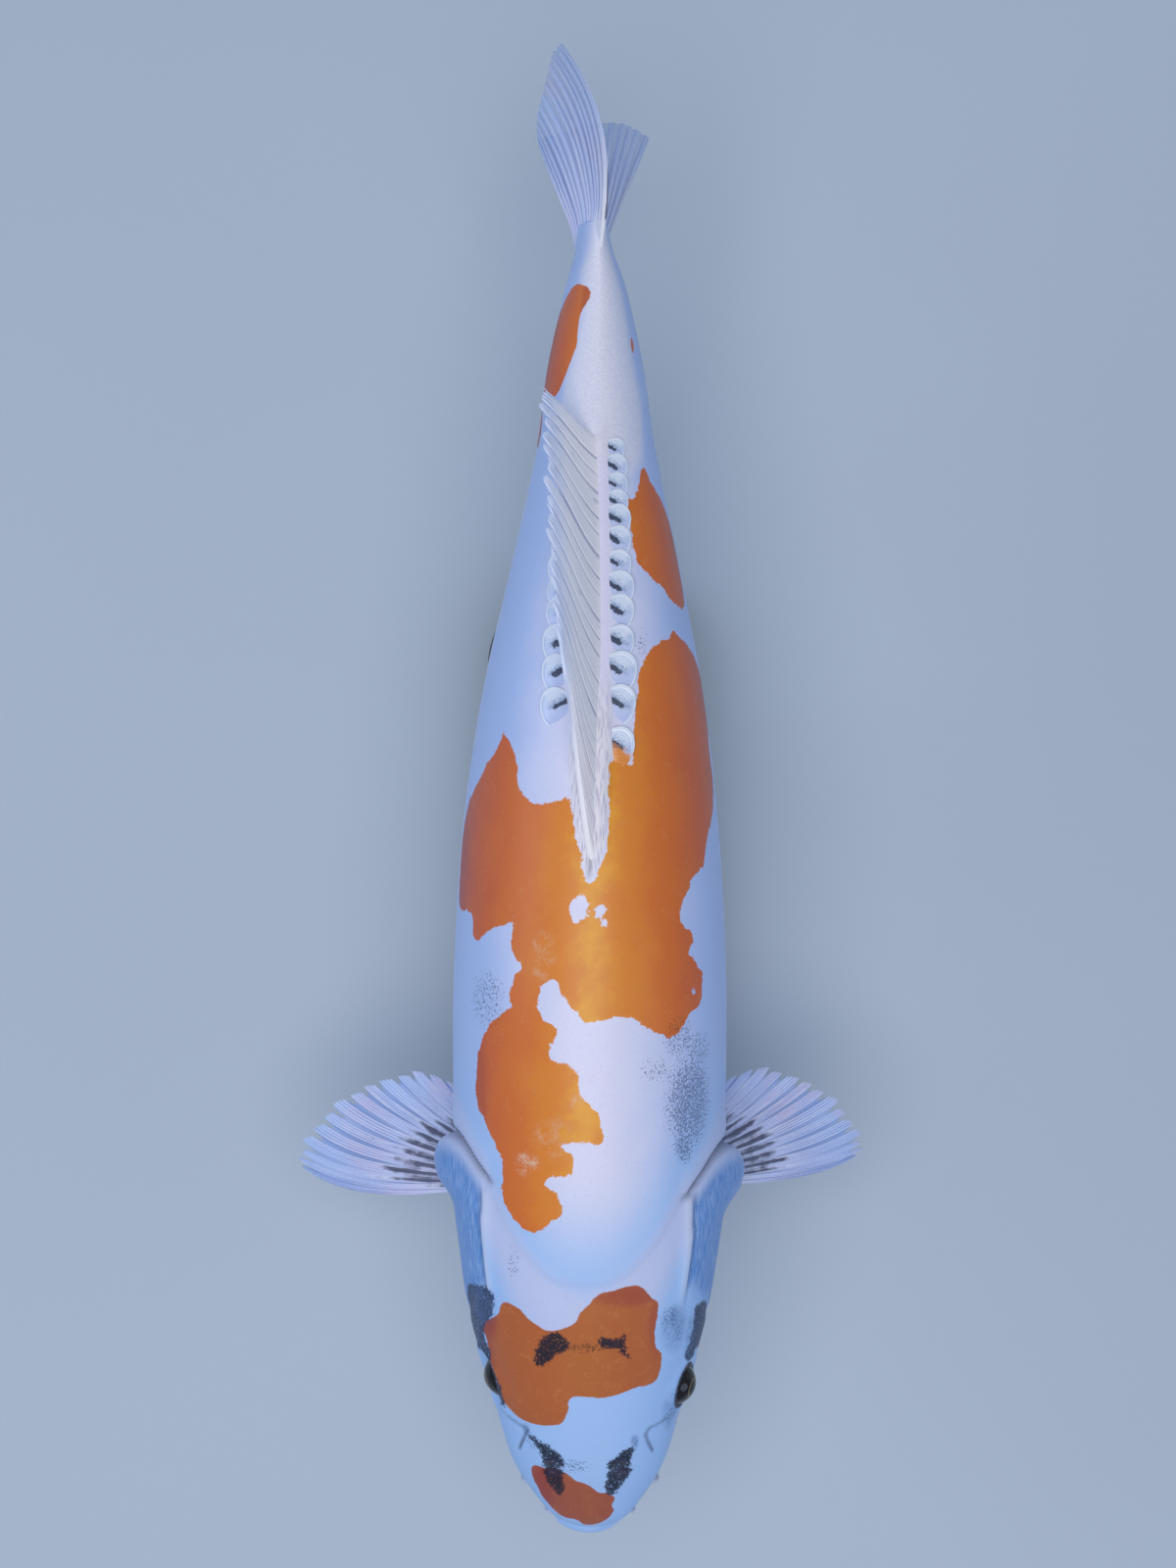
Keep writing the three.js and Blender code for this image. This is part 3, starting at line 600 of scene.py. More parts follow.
def turned(eye, out, height, turns):
    """Points at a distance out from the eye's axis, all the way round it."""
    first, second = across_axis(eye["axis"])
    ring = np.cos(turns)[:, None] * first + np.sin(turns)[:, None] * second
    return eye["centre"] + height[:, None, None] * eye["axis"] + out[:, None, None] * ring


def add_eye_rim(shell, eye, area):
    """The fleshy ring that hugs the ball and hides where the skin ends."""
    opening = OPENING * eye["radius"]
    edge = math.sqrt(eye["radius"] ** 2 - opening**2)
    out = opening + 0.06 + 0.17 * np.cos(RIM_TURNS)
    height = edge + 0.08 + 0.13 * np.sin(RIM_TURNS)
    inner = fall(np.cos(RIM_TURNS), -0.8, 0.2)
    # The rim's inner side, against the ball, is darkened as painted shade.
    shell.add_grid(turned(eye, out, height, TURNS), wrap=True, area=area,
                   hollow=0.85 * inner[:, None], head=2.0, black=0.6, orange=OUTSIDE)


def make_eye(name, material):
    """A ball that bulges a little at the cornea. out is 1 at the skin's opening, and more behind it."""
    eye = EYES[name]
    radius = eye["radius"] * (1 + 0.035 * hill(EYE_TILTS, 0.55))
    ball = turned(eye, radius * np.sin(EYE_TILTS), radius * np.cos(EYE_TILTS), TURNS)
    _, second = across_axis(eye["axis"])
    upper = (ball - eye["centre"]) @ second / eye["radius"]
    out = np.sin(EYE_TILTS) / OPENING + (EYE_TILTS > 1.5)
    shell = Shell()
    shell.add_grid(ball, wrap=True, out=out[:, None], upper=upper)
    return shell.piece(f"koi_eye_{name}", material, "eye", f"eye_{name}")


# ---- Barbels ----
# Root, bend and tip as (across, at, up) on the left side, and the radius at the root.
BARBELS = {
    "front": ([2.4, 1.25, -1], [3.7, 0.9, -1.7], [3.4, 1.3, -3.2], 0.16),
    "rear": ([4.1, 3.5, -2.2], [5.6, 2.9, -2.7], [5.2, 3.4, -5.4], 0.22),
}


def add_barbel(shell, root, bend, tip, radius, side, area):
    """A feeler along a parabola, a little thicker at its root and rounded at its tip."""
    root, bend, tip = (np.array(place) * [side, 1, 1] for place in (root, bend, tip))
    t = np.concatenate([np.linspace(-0.12, 0.96, 26), [0.985, 0.997, 1]])[:, None]
    line = root * (1 - t) ** 2 + 2 * bend * t * (1 - t) + tip * t**2
    ahead = unit(np.gradient(line, axis=0))
    first = unit(np.cross(ahead, [0, 0, 1]))
    second = np.cross(ahead, first)
    rounded = np.sqrt(np.clip((1 - t) / 0.06, 0, 1))
    thick = radius * ((1.05 - 0.6 * t) * rounded + 0.25 * hill(t, 0.12))
    turns = full_turn(18)[None, :, None]
    ring = np.cos(turns) * first[:, None] + np.sin(turns) * second[:, None]
    tube = line[:, None] + thick[:, None] * ring
    shell.add_grid(tube, wrap=True, area=area, head=2.0, barbel=1.0, black=OUTSIDE, orange=OUTSIDE)


# ---- The skin: one piece from the lips to the root of the tail fin ----
COLUMNS = 208
FLESH_RUN = 0.7  # how far the flesh runs out over the middle rays of the tail fin
SPACING = ([0, 6, 30, 45], [0.088, 0.13, 0.175, 0.42])  # gap between rings, by the way run from the snout


def ring_places():
    """Places of the skin's rings, closer together where SPACING says."""
    at, half = sections(FINE_PLACES)[:2]
    run = np.concatenate([[0], np.cumsum(np.hypot(np.diff(at), np.diff(half)))])
    rings = np.concatenate([[0], np.cumsum(np.diff(run) / np.interp(run[1:], *SPACING))])
    return np.interp(np.linspace(0, rings[-1], int(rings[-1])), rings, FINE_PLACES)


def flesh_end(last):
    """Rings past the last one, which thin out on both sides of the tail fin's rays to an edge."""
    level = (last[:, 2] + np.roll(last[::-1], 1, axis=0)[:, 2]) / 2
    over = np.clip(np.abs(level) / TAIL["spread"], 0, 1)
    beside = last[:, 0] - tail_middle(last[:, 1], last[:, 2])
    rings = []
    for share in np.linspace(0, 1, 10)[1:]:
        at = last[:, 1] + share * FLESH_RUN * (1 - 0.4 * over**2)
        up = last[:, 2] + share * (level - last[:, 2])
        rings.append(np.stack([tail_middle(at, up) + beside * math.cos(share * math.pi / 2), at, up], -1))
    return np.array(rings)


def make_skin(material):
    """The body with its relief and markings, the rims round the eyes and the barbels."""
    place = ring_places()[:, None]
    angle = np.linspace(-np.pi, np.pi, COLUMNS, endpoint=False)[None, :]
    bare = skin_points(place, angle)
    outwards = skin_normals(place, angle)
    outwards[0] = [0, -1, 0]
    across, at, up = np.moveaxis(bare, -1, 0)
    step = np.linalg.norm(np.diff(bare, axis=1, append=bare[:, :1]), axis=-1)
    middle = COLUMNS // 2
    around = np.concatenate([np.zeros((len(bare), 1)), np.cumsum(step, axis=1)[:, :-1]], axis=1)
    girth = around - around[:, middle:middle + 1]
    degrees = np.degrees(np.broadcast_to(angle, at.shape))
    side = np.where(degrees < 0, -1, 1)
    head = head_distance(at, degrees, girth, side)
    lips, slit = mouth_relief(across, at, up)
    nostrils, pits = nostril_relief(across, at, up)
    grooves, lines = groove_relief(at, girth)
    gills, crease, blue, crest = gill_relief(at, np.abs(degrees), side)
    folds, sheath, seam = sheath_relief(at, girth)
    relief = lips + nostrils + grooves + gills + folds + small_relief(at, degrees, head)
    points = draw_to_eyes(bare + relief[..., None] * outwards)
    # Painted shade: the skin is darkened in the mouth's slit, the nostrils' pits, the grooves, the gill
    # crease and gutter and the sheath's seam.
    hollow = np.max([slit, pits, lines, 0.8 * crease, 0.8 * seam], axis=0)
    end = flesh_end(points[-1])
    values = markings(at, girth)
    values |= {"at": at, "girth": girth, "around": np.abs(degrees) / 90, "head": head,
               "hollow": hollow, "gill": blue, "crest": crest, "sheath": sheath}
    values = {name: np.vstack([value, np.repeat(value[-1:], len(end), axis=0)])
              for name, value in values.items()}
    shell = Shell()
    shell.add_grid(np.concatenate([points, end]), wrap=True, area=(0, 0, 1, 0.93), **values)
    strip = iter([(k / 6, 0.94, (k + 0.9) / 6, 1) for k in range(6)])
    for eye in EYES.values():
        add_eye_rim(shell, eye, next(strip))
    for barbel in BARBELS.values():
        for side in (-1, 1):
            add_barbel(shell, *barbel, side, next(strip))
    names = [f"{part}_{hand}" for part in ("gill_cover", "barbel_front", "barbel_rear")
             for hand in ("left", "right")]
    return shell.piece("koi_skin", material, "skin", "head", "lower_jaw", "trunk", "tail_stem", *names)


# ---- Fins ----
# surface(v, r) runs from the front ray (v = 0) to the rear one, and from root (r = 0) to tip.
SUNK = 0.6  # how deep the roots of the upright fins reach into the flesh
STEPS_PER_RAY = 24


def fin_rays(v, r, rays, sway, band, narrow, split):
    """How far across its ray each place is, where the ray's edge is, and 1 on the rays, 0 on the web.

    Their widths differ by sway. Their share of the fin, band, shrinks by narrow on the way out, and past
    split each frays into four strands.
    """
    order = v * rays + sway * np.sin(v * rays * 2.3)
    from_ray = np.abs(2 * (order % 1) - 1)
    edge = band - narrow * smooth(r, 0.2, 1)
    on_ray = 1 - smooth(from_ray, edge - 0.08, edge + 0.05)
    on_ray = np.maximum(on_ray, 1 - smooth(np.minimum(v, 1 - v) * rays, 0.1, 0.45))
    strands = (0.5 + 0.5 * np.cos(4 * np.pi * np.clip(from_ray / edge, 0, 1))) ** 2
    return from_ray, edge, on_ray * (1 - 0.9 * strands * smooth(r, split - 0.3, split + 0.2))


def make_fin(name, node_names, surface, half, material, *, rays, sway=0.05, band=0.9, narrow=0.08,
             split=0.5, notch=0.06, web=0.45, fused=0.0, rows=56, one_sided=False, **marks):
    """A fin as one thin closed piece whose rays stand out on both faces. half is the rays' half thickness.

    web is the web's share of that, away from the root. The rear edge is cut back by notch between the rays.
    Up to the share fused of their length the rays are sunk in flesh. marks are functions of v and r that
    become vertex attributes. one_sided: the black is on one face only.
    """
    v = np.linspace(0, 1, rays * STEPS_PER_RAY + 1)[:, None]
    r = (np.linspace(0, 1, rows) ** 0.9)[None, :]
    from_ray, edge, on_ray = fin_rays(v, r, rays, sway, band, narrow, split)
    on_ray = np.maximum(on_ray, smooth(fused - r, -0.08, 0))
    number = np.floor(np.minimum(v * rays, rays - 0.5))
    gap = smooth(from_ray, edge - 0.12, 1) + 0.35 * (1 - on_ray)
    slant = 0.3 * from_ray**2 + 0.6 * (v * rays % 1)
    uneven = 0.2 * notch * np.sin(number * 2.4) - notch * (gap + slant)
    reach = r * (1 + uneven * r**2)
    step = 1e-3
    middle = surface(v, reach)
    outward = unit(np.cross(surface(v + step, reach) - surface(v - step, reach),
                            surface(v, reach + step) - surface(v, reach - step)))
    from_border = np.clip(np.minimum(v, 1 - v) * rays / 0.45, 0, 1)
    rounded = np.sqrt(1 - 0.96 * (1 - from_border) ** 2) * (1 - 0.6 * smooth(r, 0.95, 1))
    web = web + (0.8 - web) * fall(r, 0.1, 0.4)
    thick = half(v, r) * (web + (1 - web) * on_ray) * rounded
    faces = [middle + sign * thick[..., None] * outward for sign in (1, -1)]
    values = {"ray": on_ray, "reach": r, "order": v * rays}
    values |= {key: mark(v, r) for key, mark in marks.items()}
    sides = [{key: np.broadcast_to(value, middle.shape[:2]) for key, value in side.items()}
             for side in (values | {"black": 0.0} if one_sided else values, values)]
    shell = Shell()
    for face, side, area in zip(faces, sides, ((0, 0, 0.49, 1), (0.51, 0, 1, 1))):
        shell.add_grid(face, area=area, **side)
    for border in ((slice(None), 0), (slice(None), -1), (0, slice(None)), (-1, slice(None))):
        shell.add_grid(np.stack([face[border] for face in faces]), area=(0.492, 0, 0.508, 1),
                       **{key: np.stack([side[key][border] for side in sides]) for key in values})
    return shell.piece(name, material, "fin", *node_names)


# Lists run evenly over the rays: from the front ray to the rear one, or from the tail fin's fork outwards.
# from, to: the root's ends. back, aside, up: how far the tips lie from it. droop: the slope of a paired
# fin down and outwards. cup: how far its middle bulges up. upper, lower: each lobe's distance aside at the
# root, and how much its rays lean and curl aside.
DORSAL = {"from": 50.8, "to": 83.4, "back": [16.3, 11, 8, 6.5, 3.9], "up": [4.7, 5.4, 5.2, 4.6, 2.8],
          "aside": [-2.3, -3.1, -3.9, -4.3, -4.7], "rise": 0.72}
TAIL = {"root": 97.8, "sunk": 2, "spread": 5.6, "length": [9.4, 10.8, 13, 15.4, 17.2],
        "angle": [0, 10.9, 21.3, 31.9, 41.5],
        "upper": [[-0.15, 0.1, 0.35, 0.6, 0.85], [-4.2, -2.9, -1.2, 0.3, 1.7],
                  [0.3, -1.2, -2.5, -3.7, -4.6]],
        "lower": [[-0.15, -0.05, 0.05, 0.1, 0.2], [-4.2, -2.1, 0.5, 2.9, 4.9],
                  [0.3, -0.1, -0.1, -0.2, -0.2]]}
PECTORAL = {"at": 26.9, "across": 6.7, "up": -6.6, "root_span": 2.4, "inner_reach": 1,
            "angle": [-1.5, 3.5, 12, 23, 34.5, 48, 59], "reach": [16.7, 17, 15.8, 14.2, 12.2, 10.3, 7.7],
            "droop": 0.38, "cup": 0.9, "cup_flattens": 0.4, "slant": 0.8,
            1: {"sweep": 3.5, "size": [0.89, 1.06], "bow": 7}, -1: {"sweep": 0, "size": [1, 1], "bow": 11}}
PELVIC = {"at": 47.2, "across": 3.4, "up": -10.7, "root_span": 2.6, "angle": [66, 70, 75, 81, 88],
          "reach": [12.2, 12.4, 11.2, 9, 6.4], "droop": 0.55, "narrow": 0.8, "dip": 1.2}
ANAL = {"from": 76.6, "to": 82.6, "reach": [12.2, 11.6, 9.4, 7.2, 5.4], "angle": [56, 50, 44, 38, 32],
        "aside": -0.9}


def stacked(*parts):
    """Points from their coordinates."""
    return np.stack(np.broadcast_arrays(*parts), -1)


def dorsal_surface(v, r):
    root = lifted_skin(DORSAL["from"] + (DORSAL["to"] - DORSAL["from"]) * v, 0.0, -SUNK)
    rise = DORSAL["rise"] * smooth(v, -0.35, 0.25) * 2 * r * (1 - r) + r**2
    return root + stacked(along(DORSAL["aside"], v) * (1.15 * r - 0.75 * r**2 + 0.6 * r**3),
                          along(DORSAL["back"], v) * (0.66 * r + 0.34 * r**2),
                          (along(DORSAL["up"], v) + SUNK) * rise)


def tail_aside(out, share, upper):
    """How far aside the tail fin's rays are at a share of their length."""
    aside, lean, curl = (np.where(upper, along(above, out), along(below, out))
                         for above, below in zip(TAIL["upper"], TAIL["lower"]))
    return aside + lean * share + curl * share**3


def tail_middle(at, up):
    """How far aside the tail fin is at a place near its root."""
    run = at - TAIL["root"]
    steepest = math.tan(math.radians(TAIL["angle"][-1]))
    out = np.clip(np.abs(up) / (TAIL["spread"] + steepest * run), 0, 1)
    length = along(TAIL["length"], out) * np.cos(np.radians(along(TAIL["angle"], out)))
    return tail_aside(out, run / length, up > 0)


def tail_surface(v, r):
    out = np.abs(2 * v - 1)
    upper = v > 0.5
    angle = np.radians(along(TAIL["angle"], out))
    length = along(TAIL["length"], out)
    share = r - (1 - r) * TAIL["sunk"] * out**2 / length
    height = TAIL["spread"] * out + share * length * np.sin(angle)
    return stacked(tail_aside(out, share, upper), TAIL["root"] + share * length * np.cos(angle),
                   np.where(upper, 1, -1) * height)


def pectoral_surface(side):
    own = PECTORAL[side]

    def surface(v, r):
        turn = own["sweep"] - own["bow"] * (1 - r**3)
        angle = np.radians(along(PECTORAL["angle"], v) + turn * (1 - v))
        inner, (front, rear) = PECTORAL["inner_reach"], own["size"]
        reach = inner + (along(PECTORAL["reach"], v) * (front + (rear - front) * v) - inner) * r
        out = reach * np.cos(angle)
        back = PECTORAL["at"] + PECTORAL["root_span"] * (v - 0.5) * (1 - r) + reach * np.sin(angle)
        cup = PECTORAL["cup"] * np.sin(np.pi * v) * r * (1 - PECTORAL["cup_flattens"] * r)
        height = PECTORAL["up"] - PECTORAL["droop"] * out + cup - PECTORAL["slant"] * v
        return stacked(side * (PECTORAL["across"] + out), back, height)

    return surface


def pelvic_surface(side):
    def surface(v, r):
        angle = np.radians(along(PELVIC["angle"], v))
        reach = r * along(PELVIC["reach"], v)
        aside = reach * np.cos(angle) - PELVIC["narrow"] * v
        back = PELVIC["at"] + PELVIC["root_span"] * v + reach * np.sin(angle)
        return stacked(side * (PELVIC["across"] + aside), back,
                       PELVIC["up"] - PELVIC["droop"] * aside - PELVIC["dip"] * r)

    return surface


def anal_surface(v, r):
    root = lifted_skin(ANAL["from"] + (ANAL["to"] - ANAL["from"]) * v, np.pi, -SUNK)
    angle = np.radians(along(ANAL["angle"], v))
    reach = r * (along(ANAL["reach"], v) + SUNK)
    return root + stacked(ANAL["aside"] * r * r, reach * np.cos(angle), -reach * np.sin(angle))


def pectoral_black(v, r):
    """The dark patch near the root of a pectoral fin."""
    end = 0.54 - 0.05 * smooth(v, 0.5, 0.9) - 0.25 * fall(v, 0.06, 0.25)
    return smooth(end - r, -0.12, 0.12) * smooth(v, 0.05, 0.16) * fall(v, 0.8, 0.97)


def tail_shadow_line(v, r):
    """A dark line of painted shadow on the upper lobe's first rays."""
    return hill(v - 1, 0.012) * (2.2 * hill(r - 0.27, 0.035) + 1.7 * hill(r - 0.4, 0.13))


def tail_cream(v, r):
    """The white of the flesh over the upper lobe's root and of the first rays of both lobes."""
    flesh = 0.55 * smooth(v - 1.5 * r, 0.44, 0.56) * fall(r, 0.25, 0.4)
    first = 0.75 * hill(v - 1, 0.06) * fall(r, 0.2, 0.8) + 0.6 * hill(v, 0.03) * fall(r, 0.5, 0.9)
    return np.maximum(flesh, first)


def tapering(root, tip, first, fleshy=0.25):
    """Half thickness of a fin: from root to tip, more at the first ray, and flesh over the rays' roots."""
    return lambda v, r: (root + (tip - root) * r) * (1 + first * hill(v, 0.06)) + fleshy * hill(r, 0.08)


def tail_half(v, r):
    """The tail fin's half thickness: less at the tips and the first rays, with flesh over the roots."""
    out = np.abs(2 * v - 1)
    border = hill(out - 1, 0.15)
    flesh = 0.35 * fall(r, 0.05, 0.35) * (1 - 0.9 * border)
    return (0.24 - 0.15 * r) * (1 - 0.5 * border * fall(r, 0.1, 0.3)) + flesh


def make_fins(material, clear_material):
    make_fin("koi_dorsal_fin", ["dorsal_fin"], dorsal_surface, tapering(0.24, 0.1, 0.3, 0.12), material,
             rays=21, sway=0.16, band=0.86, notch=0.12, web=0.6, split=0.85, rows=64,
             cream=lambda v, r: 1.0)
    # The tail fin's dark line, on one face only, is painted shadow.
    make_fin("koi_tail_fin", ["tail_fin_upper", "tail_fin_lower"], tail_surface, tail_half, clear_material,
             rays=25, sway=0.12, band=0.5, notch=0.005, web=0.5, split=0.9, fused=0.18, one_sided=True,
             black=tail_shadow_line, cream=tail_cream)
    make_fin("koi_anal_fin", ["anal_fin"], anal_surface, tapering(0.28, 0.1, 0.4), material,
             rays=7, rows=44)
    for hand, side in (("left", 1), ("right", -1)):
        make_fin(f"koi_pectoral_fin_{hand}", [f"pectoral_fin_{hand}"], pectoral_surface(side),
                 tapering(0.3, 0.11, 0.3, 0.5), material,
                 rays=14, band=0.93, narrow=0.22, notch=0.05, black=pectoral_black)
        make_fin(f"koi_pelvic_fin_{hand}", [f"pelvic_fin_{hand}"], pelvic_surface(side),
                 tapering(0.3, 0.11, 0.3), material, rays=9, rows=44)


# ---- Mirror scales: a row of raised plates on each side of the dorsal fin ----
# at of each scale's middle, from the front, and how far round from the back the row starts and ends.
SCALE_ROWS = {
    1: {"girth": [1.25, 0.95],
        "at": [60.1, 63.2, 65.6, 67.8, 70.1, 71.8, 73.6, 75.4, 77, 78.3, 79.6, 81, 82.4]},
    -1: {"girth": [-3.25, -3.1], "at": [63, 65.5, 67.7, 70, 71.6, 73.4, 74.8, 76.3]},
}
SCALE = {"length": 1.8, "width": 1.4, "dome": 0.12, "lift": 0.3, "thick": 0.09, "yaw": 24}


def angle_at(at, girth):
    """The angle round the body of a place this far round from the back."""
    turns = np.radians(np.linspace(0, 70, 141))
    lengths = [girth_to(np.array([at]), np.array([turn]))[0] for turn in turns[1:]]
    return math.copysign(np.interp(abs(girth), [0, *lengths], turns), girth)


def scale_plate(at, girth, size, side):
    """Upper and lower face of one scale. Its front is sunk in the skin and its rear rim stands free."""
    angle = angle_at(at, girth)
    middle = lifted_skin(np.array(at), angle, 0.0)
    ahead = unit(lifted_skin(np.array(at + 0.1), angle, 0.0) - middle)
    outward = skin_normals(place_at(at), angle)
    aside = np.cross(ahead, outward) * side
    aside = aside if aside[0] * side > 0 else -aside
    yaw = math.radians(SCALE["yaw"])
    rearward = ahead * math.cos(yaw) + aside * math.sin(yaw)
    sideward = aside * math.cos(yaw) - ahead * math.sin(yaw)
    out = np.linspace(0, 1, 15)[:, None]
    turns = full_turn(48)[None, :]
    x, y = out * np.cos(turns), out * np.sin(turns)
    rim = 0.06 * hill(out - 0.93, 0.06) * smooth(0.8 * y + 0.6 * x, -0.3, 0.2)
    height = SCALE["dome"] * (1 - out**2) + SCALE["lift"] * (y * 0.8 + x * 0.35 + 0.05 - 0.2 * x**2) + rim
    flat = x[..., None] * SCALE["width"] * sideward + y[..., None] * SCALE["length"] * rearward
    upper = middle + size * (flat + height[..., None] * outward)
    return upper, upper - SCALE["thick"] * outward, x, y


def make_scales(material):
    """Both rows as one piece. The scales grow smaller to the rear; tone varies their dark dashes."""
    shell = Shell()
    count = sum(len(row["at"]) for row in SCALE_ROWS.values())
    cell = iter([(k / count, 0, (k + 0.9) / count, 1) for k in range(count)])
    for side, row in SCALE_ROWS.items():
        last = len(row["at"]) - 1
        for number, at in enumerate(row["at"]):
            share = number / last
            girth = row["girth"][0] + (row["girth"][1] - row["girth"][0]) * share
            size = (1 - 0.36 * share) * (1 + 0.07 * math.sin(number * 2.1 + 4))
            upper, lower, x, y = scale_plate(at, girth, size, side)
            values = {"scale_x": x, "scale_y": y, "tone": size - 0.2 + 0.2 * math.sin(number * 1.7 + side),
                      "orange": float(side > 0 and number == 0)}
            area = next(cell)
            shell.add_grid(upper, wrap=True, area=area, **values)
            shell.add_grid(lower, wrap=True, area=area, **values)
            edge = {key: np.broadcast_to(value, x.shape)[-1] for key, value in values.items()}
            shell.add_grid(np.stack([upper[-1], lower[-1]]), wrap=True, area=area, **edge)
    shell.piece("koi_mirror_scales", material, "skin")


# ---- Materials ----
class Field:
    """A node's output that sums, products and steps can be taken of."""

    def __init__(self, paint, socket):
        self.paint, self.socket = paint, socket

    def math(self, operation, *others, clamp=False):
        inputs = enumerate([self, *others])
        return self.paint.add("ShaderNodeMath", inputs, operation=operation, use_clamp=clamp)

    def __add__(self, other):
        return self.math("ADD", other)

    def __sub__(self, other):
        return self.math("SUBTRACT", other)

    def __mul__(self, other):
        return self.math("MULTIPLY", other)

    __radd__, __rmul__ = __add__, __mul__

    def at_most(self, other):
        return self.math("MINIMUM", other)

    def size(self):
        return self.math("ABSOLUTE")

    def step(self, low, high, to_low=0.0, to_high=1.0):
        """Runs smoothly from to_low to to_high while the value runs from low to high."""
        inputs = {"Value": self, "From Min": low, "From Max": high, "To Min": to_low, "To Max": to_high}
        return self.paint.add("ShaderNodeMapRange", inputs.items(), interpolation_type="SMOOTHSTEP",
                              clamp=True)

    def hill(self, middle, width):
        """1 at the middle, falling to 0 at the width on both sides."""
        return (self - middle).size().step(0, width, 1, 0)


class Paint:
    """A new node material and short ways to make its nodes."""

    def __init__(self, name, **uniform):
        self.material = bpy.data.materials.new(name)
        self.material.use_nodes = True
        self.tree = self.material.node_tree
        self.shader = self.tree.nodes["Principled BSDF"]
        self.place = self.add("ShaderNodeTexCoord", output="Object")
        for key, value in uniform.items():
            self.shader.inputs[key.replace("_", " ")].default_value = value

    def add(self, kind, inputs=(), output=0, **settings):
        node = self.tree.nodes.new(kind)
        for key, value in settings.items():
            setattr(node, key, value)
        for key, value in inputs:
            self.feed(node.inputs[key], value)
        return Field(self, node.outputs[output])

    def feed(self, socket, value):
        if isinstance(value, Field):
            self.tree.links.new(value.socket, socket)
        elif isinstance(value, tuple) and socket.type == "RGBA":
            socket.default_value = (*value, 1)
        else:
            socket.default_value = value

    def value(self, name):
        """A vertex attribute, which is 0 on pieces that lack it."""
        return self.add("ShaderNodeAttribute", output="Fac", attribute_name=name)

    def values(self, names):
        """Several attributes, by their names in one text."""
        return [self.value(name) for name in names.split()]

    def noise(self, scale, detail=2.0, where=None):
        """Noise round 0, at a scale per metre where no other place is given."""
        inputs = [("Vector", where or self.place), ("Scale", scale), ("Detail", detail)]
        return self.add("ShaderNodeTexNoise", inputs, output="Fac") - 0.5

    def cells(self, scale):
        """Distance to the middle of the nearest of many cells, at a scale per metre."""
        inputs = [("Vector", self.place), ("Scale", scale)]
        return self.add("ShaderNodeTexVoronoi", inputs, output="Distance")

    def vector(self, x, y, z=0.0):
        return self.add("ShaderNodeCombineXYZ", enumerate([x, y, z]))

    def mix(self, share, first, second):
        return self.add("ShaderNodeMix", [(0, share), (6, first), (7, second)], output=2,
                        data_type="RGBA", clamp_factor=True)

    def over(self, colour, *layers):
        """The colour with layers of (share, colour) laid over it in turn."""
        for share, layer in layers:
            colour = self.mix(share, colour, layer)
        return colour

    def ramp(self, value, *stops):
        """Colour by value, from stops of (value, colour)."""
        colour = stops[0][1]
        for (low, _), (high, following) in zip(stops, stops[1:]):
            colour = self.mix(value.step(low, high), colour, following)
        return colour

    def bump(self, height, distance, strength=1.0):
        """height 1 stands distance metres over height 0."""
        inputs = [("Strength", strength), ("Distance", distance), ("Height", height)]
        return self.add("ShaderNodeBump", inputs)

    def finish(self, **inputs):
        for key, value in inputs.items():
            self.feed(self.shader.inputs[key.replace("_", " ")], value)
        return self.material


PEARL = (0.81, 0.77, 0.92)  # the back
# The flanks: partly the skin's own pearly blue, partly painted blue light reflected from round about.
FLANK_WITH_BLUE_CAST = (0.46, 0.58, 0.90)
BELLY = (0.80, 0.78, 0.85)
# Painted blue light and shade on the head and the shoulder behind it.
AZURE_CAST = (0.37, 0.59, 0.95)  # the head
LILAC = (0.58, 0.63, 0.86)  # the nape
# Painted blue light and shade on the gill covers.
TEAL_CAST = (0.10, 0.27, 0.66)  # the gill covers
BLUSH = (0.80, 0.68, 0.80)
SUMI = (0.01, 0.012, 0.026)  # the black markings
INDIGO = (0.012, 0.035, 0.13)  # the same on the cheeks
# The orange by how far round from the back it lies, in quarter turns.
ORANGES = [(-0.04, (0.90, 0.38, 0.03)), (0.13, (0.80, 0.245, 0.03)), (0.35, (0.74, 0.17, 0.026)),
           (0.62, (0.66, 0.12, 0.03)), (0.95, (0.42, 0.055, 0.045)), (1.25, (0.66, 0.16, 0.05))]


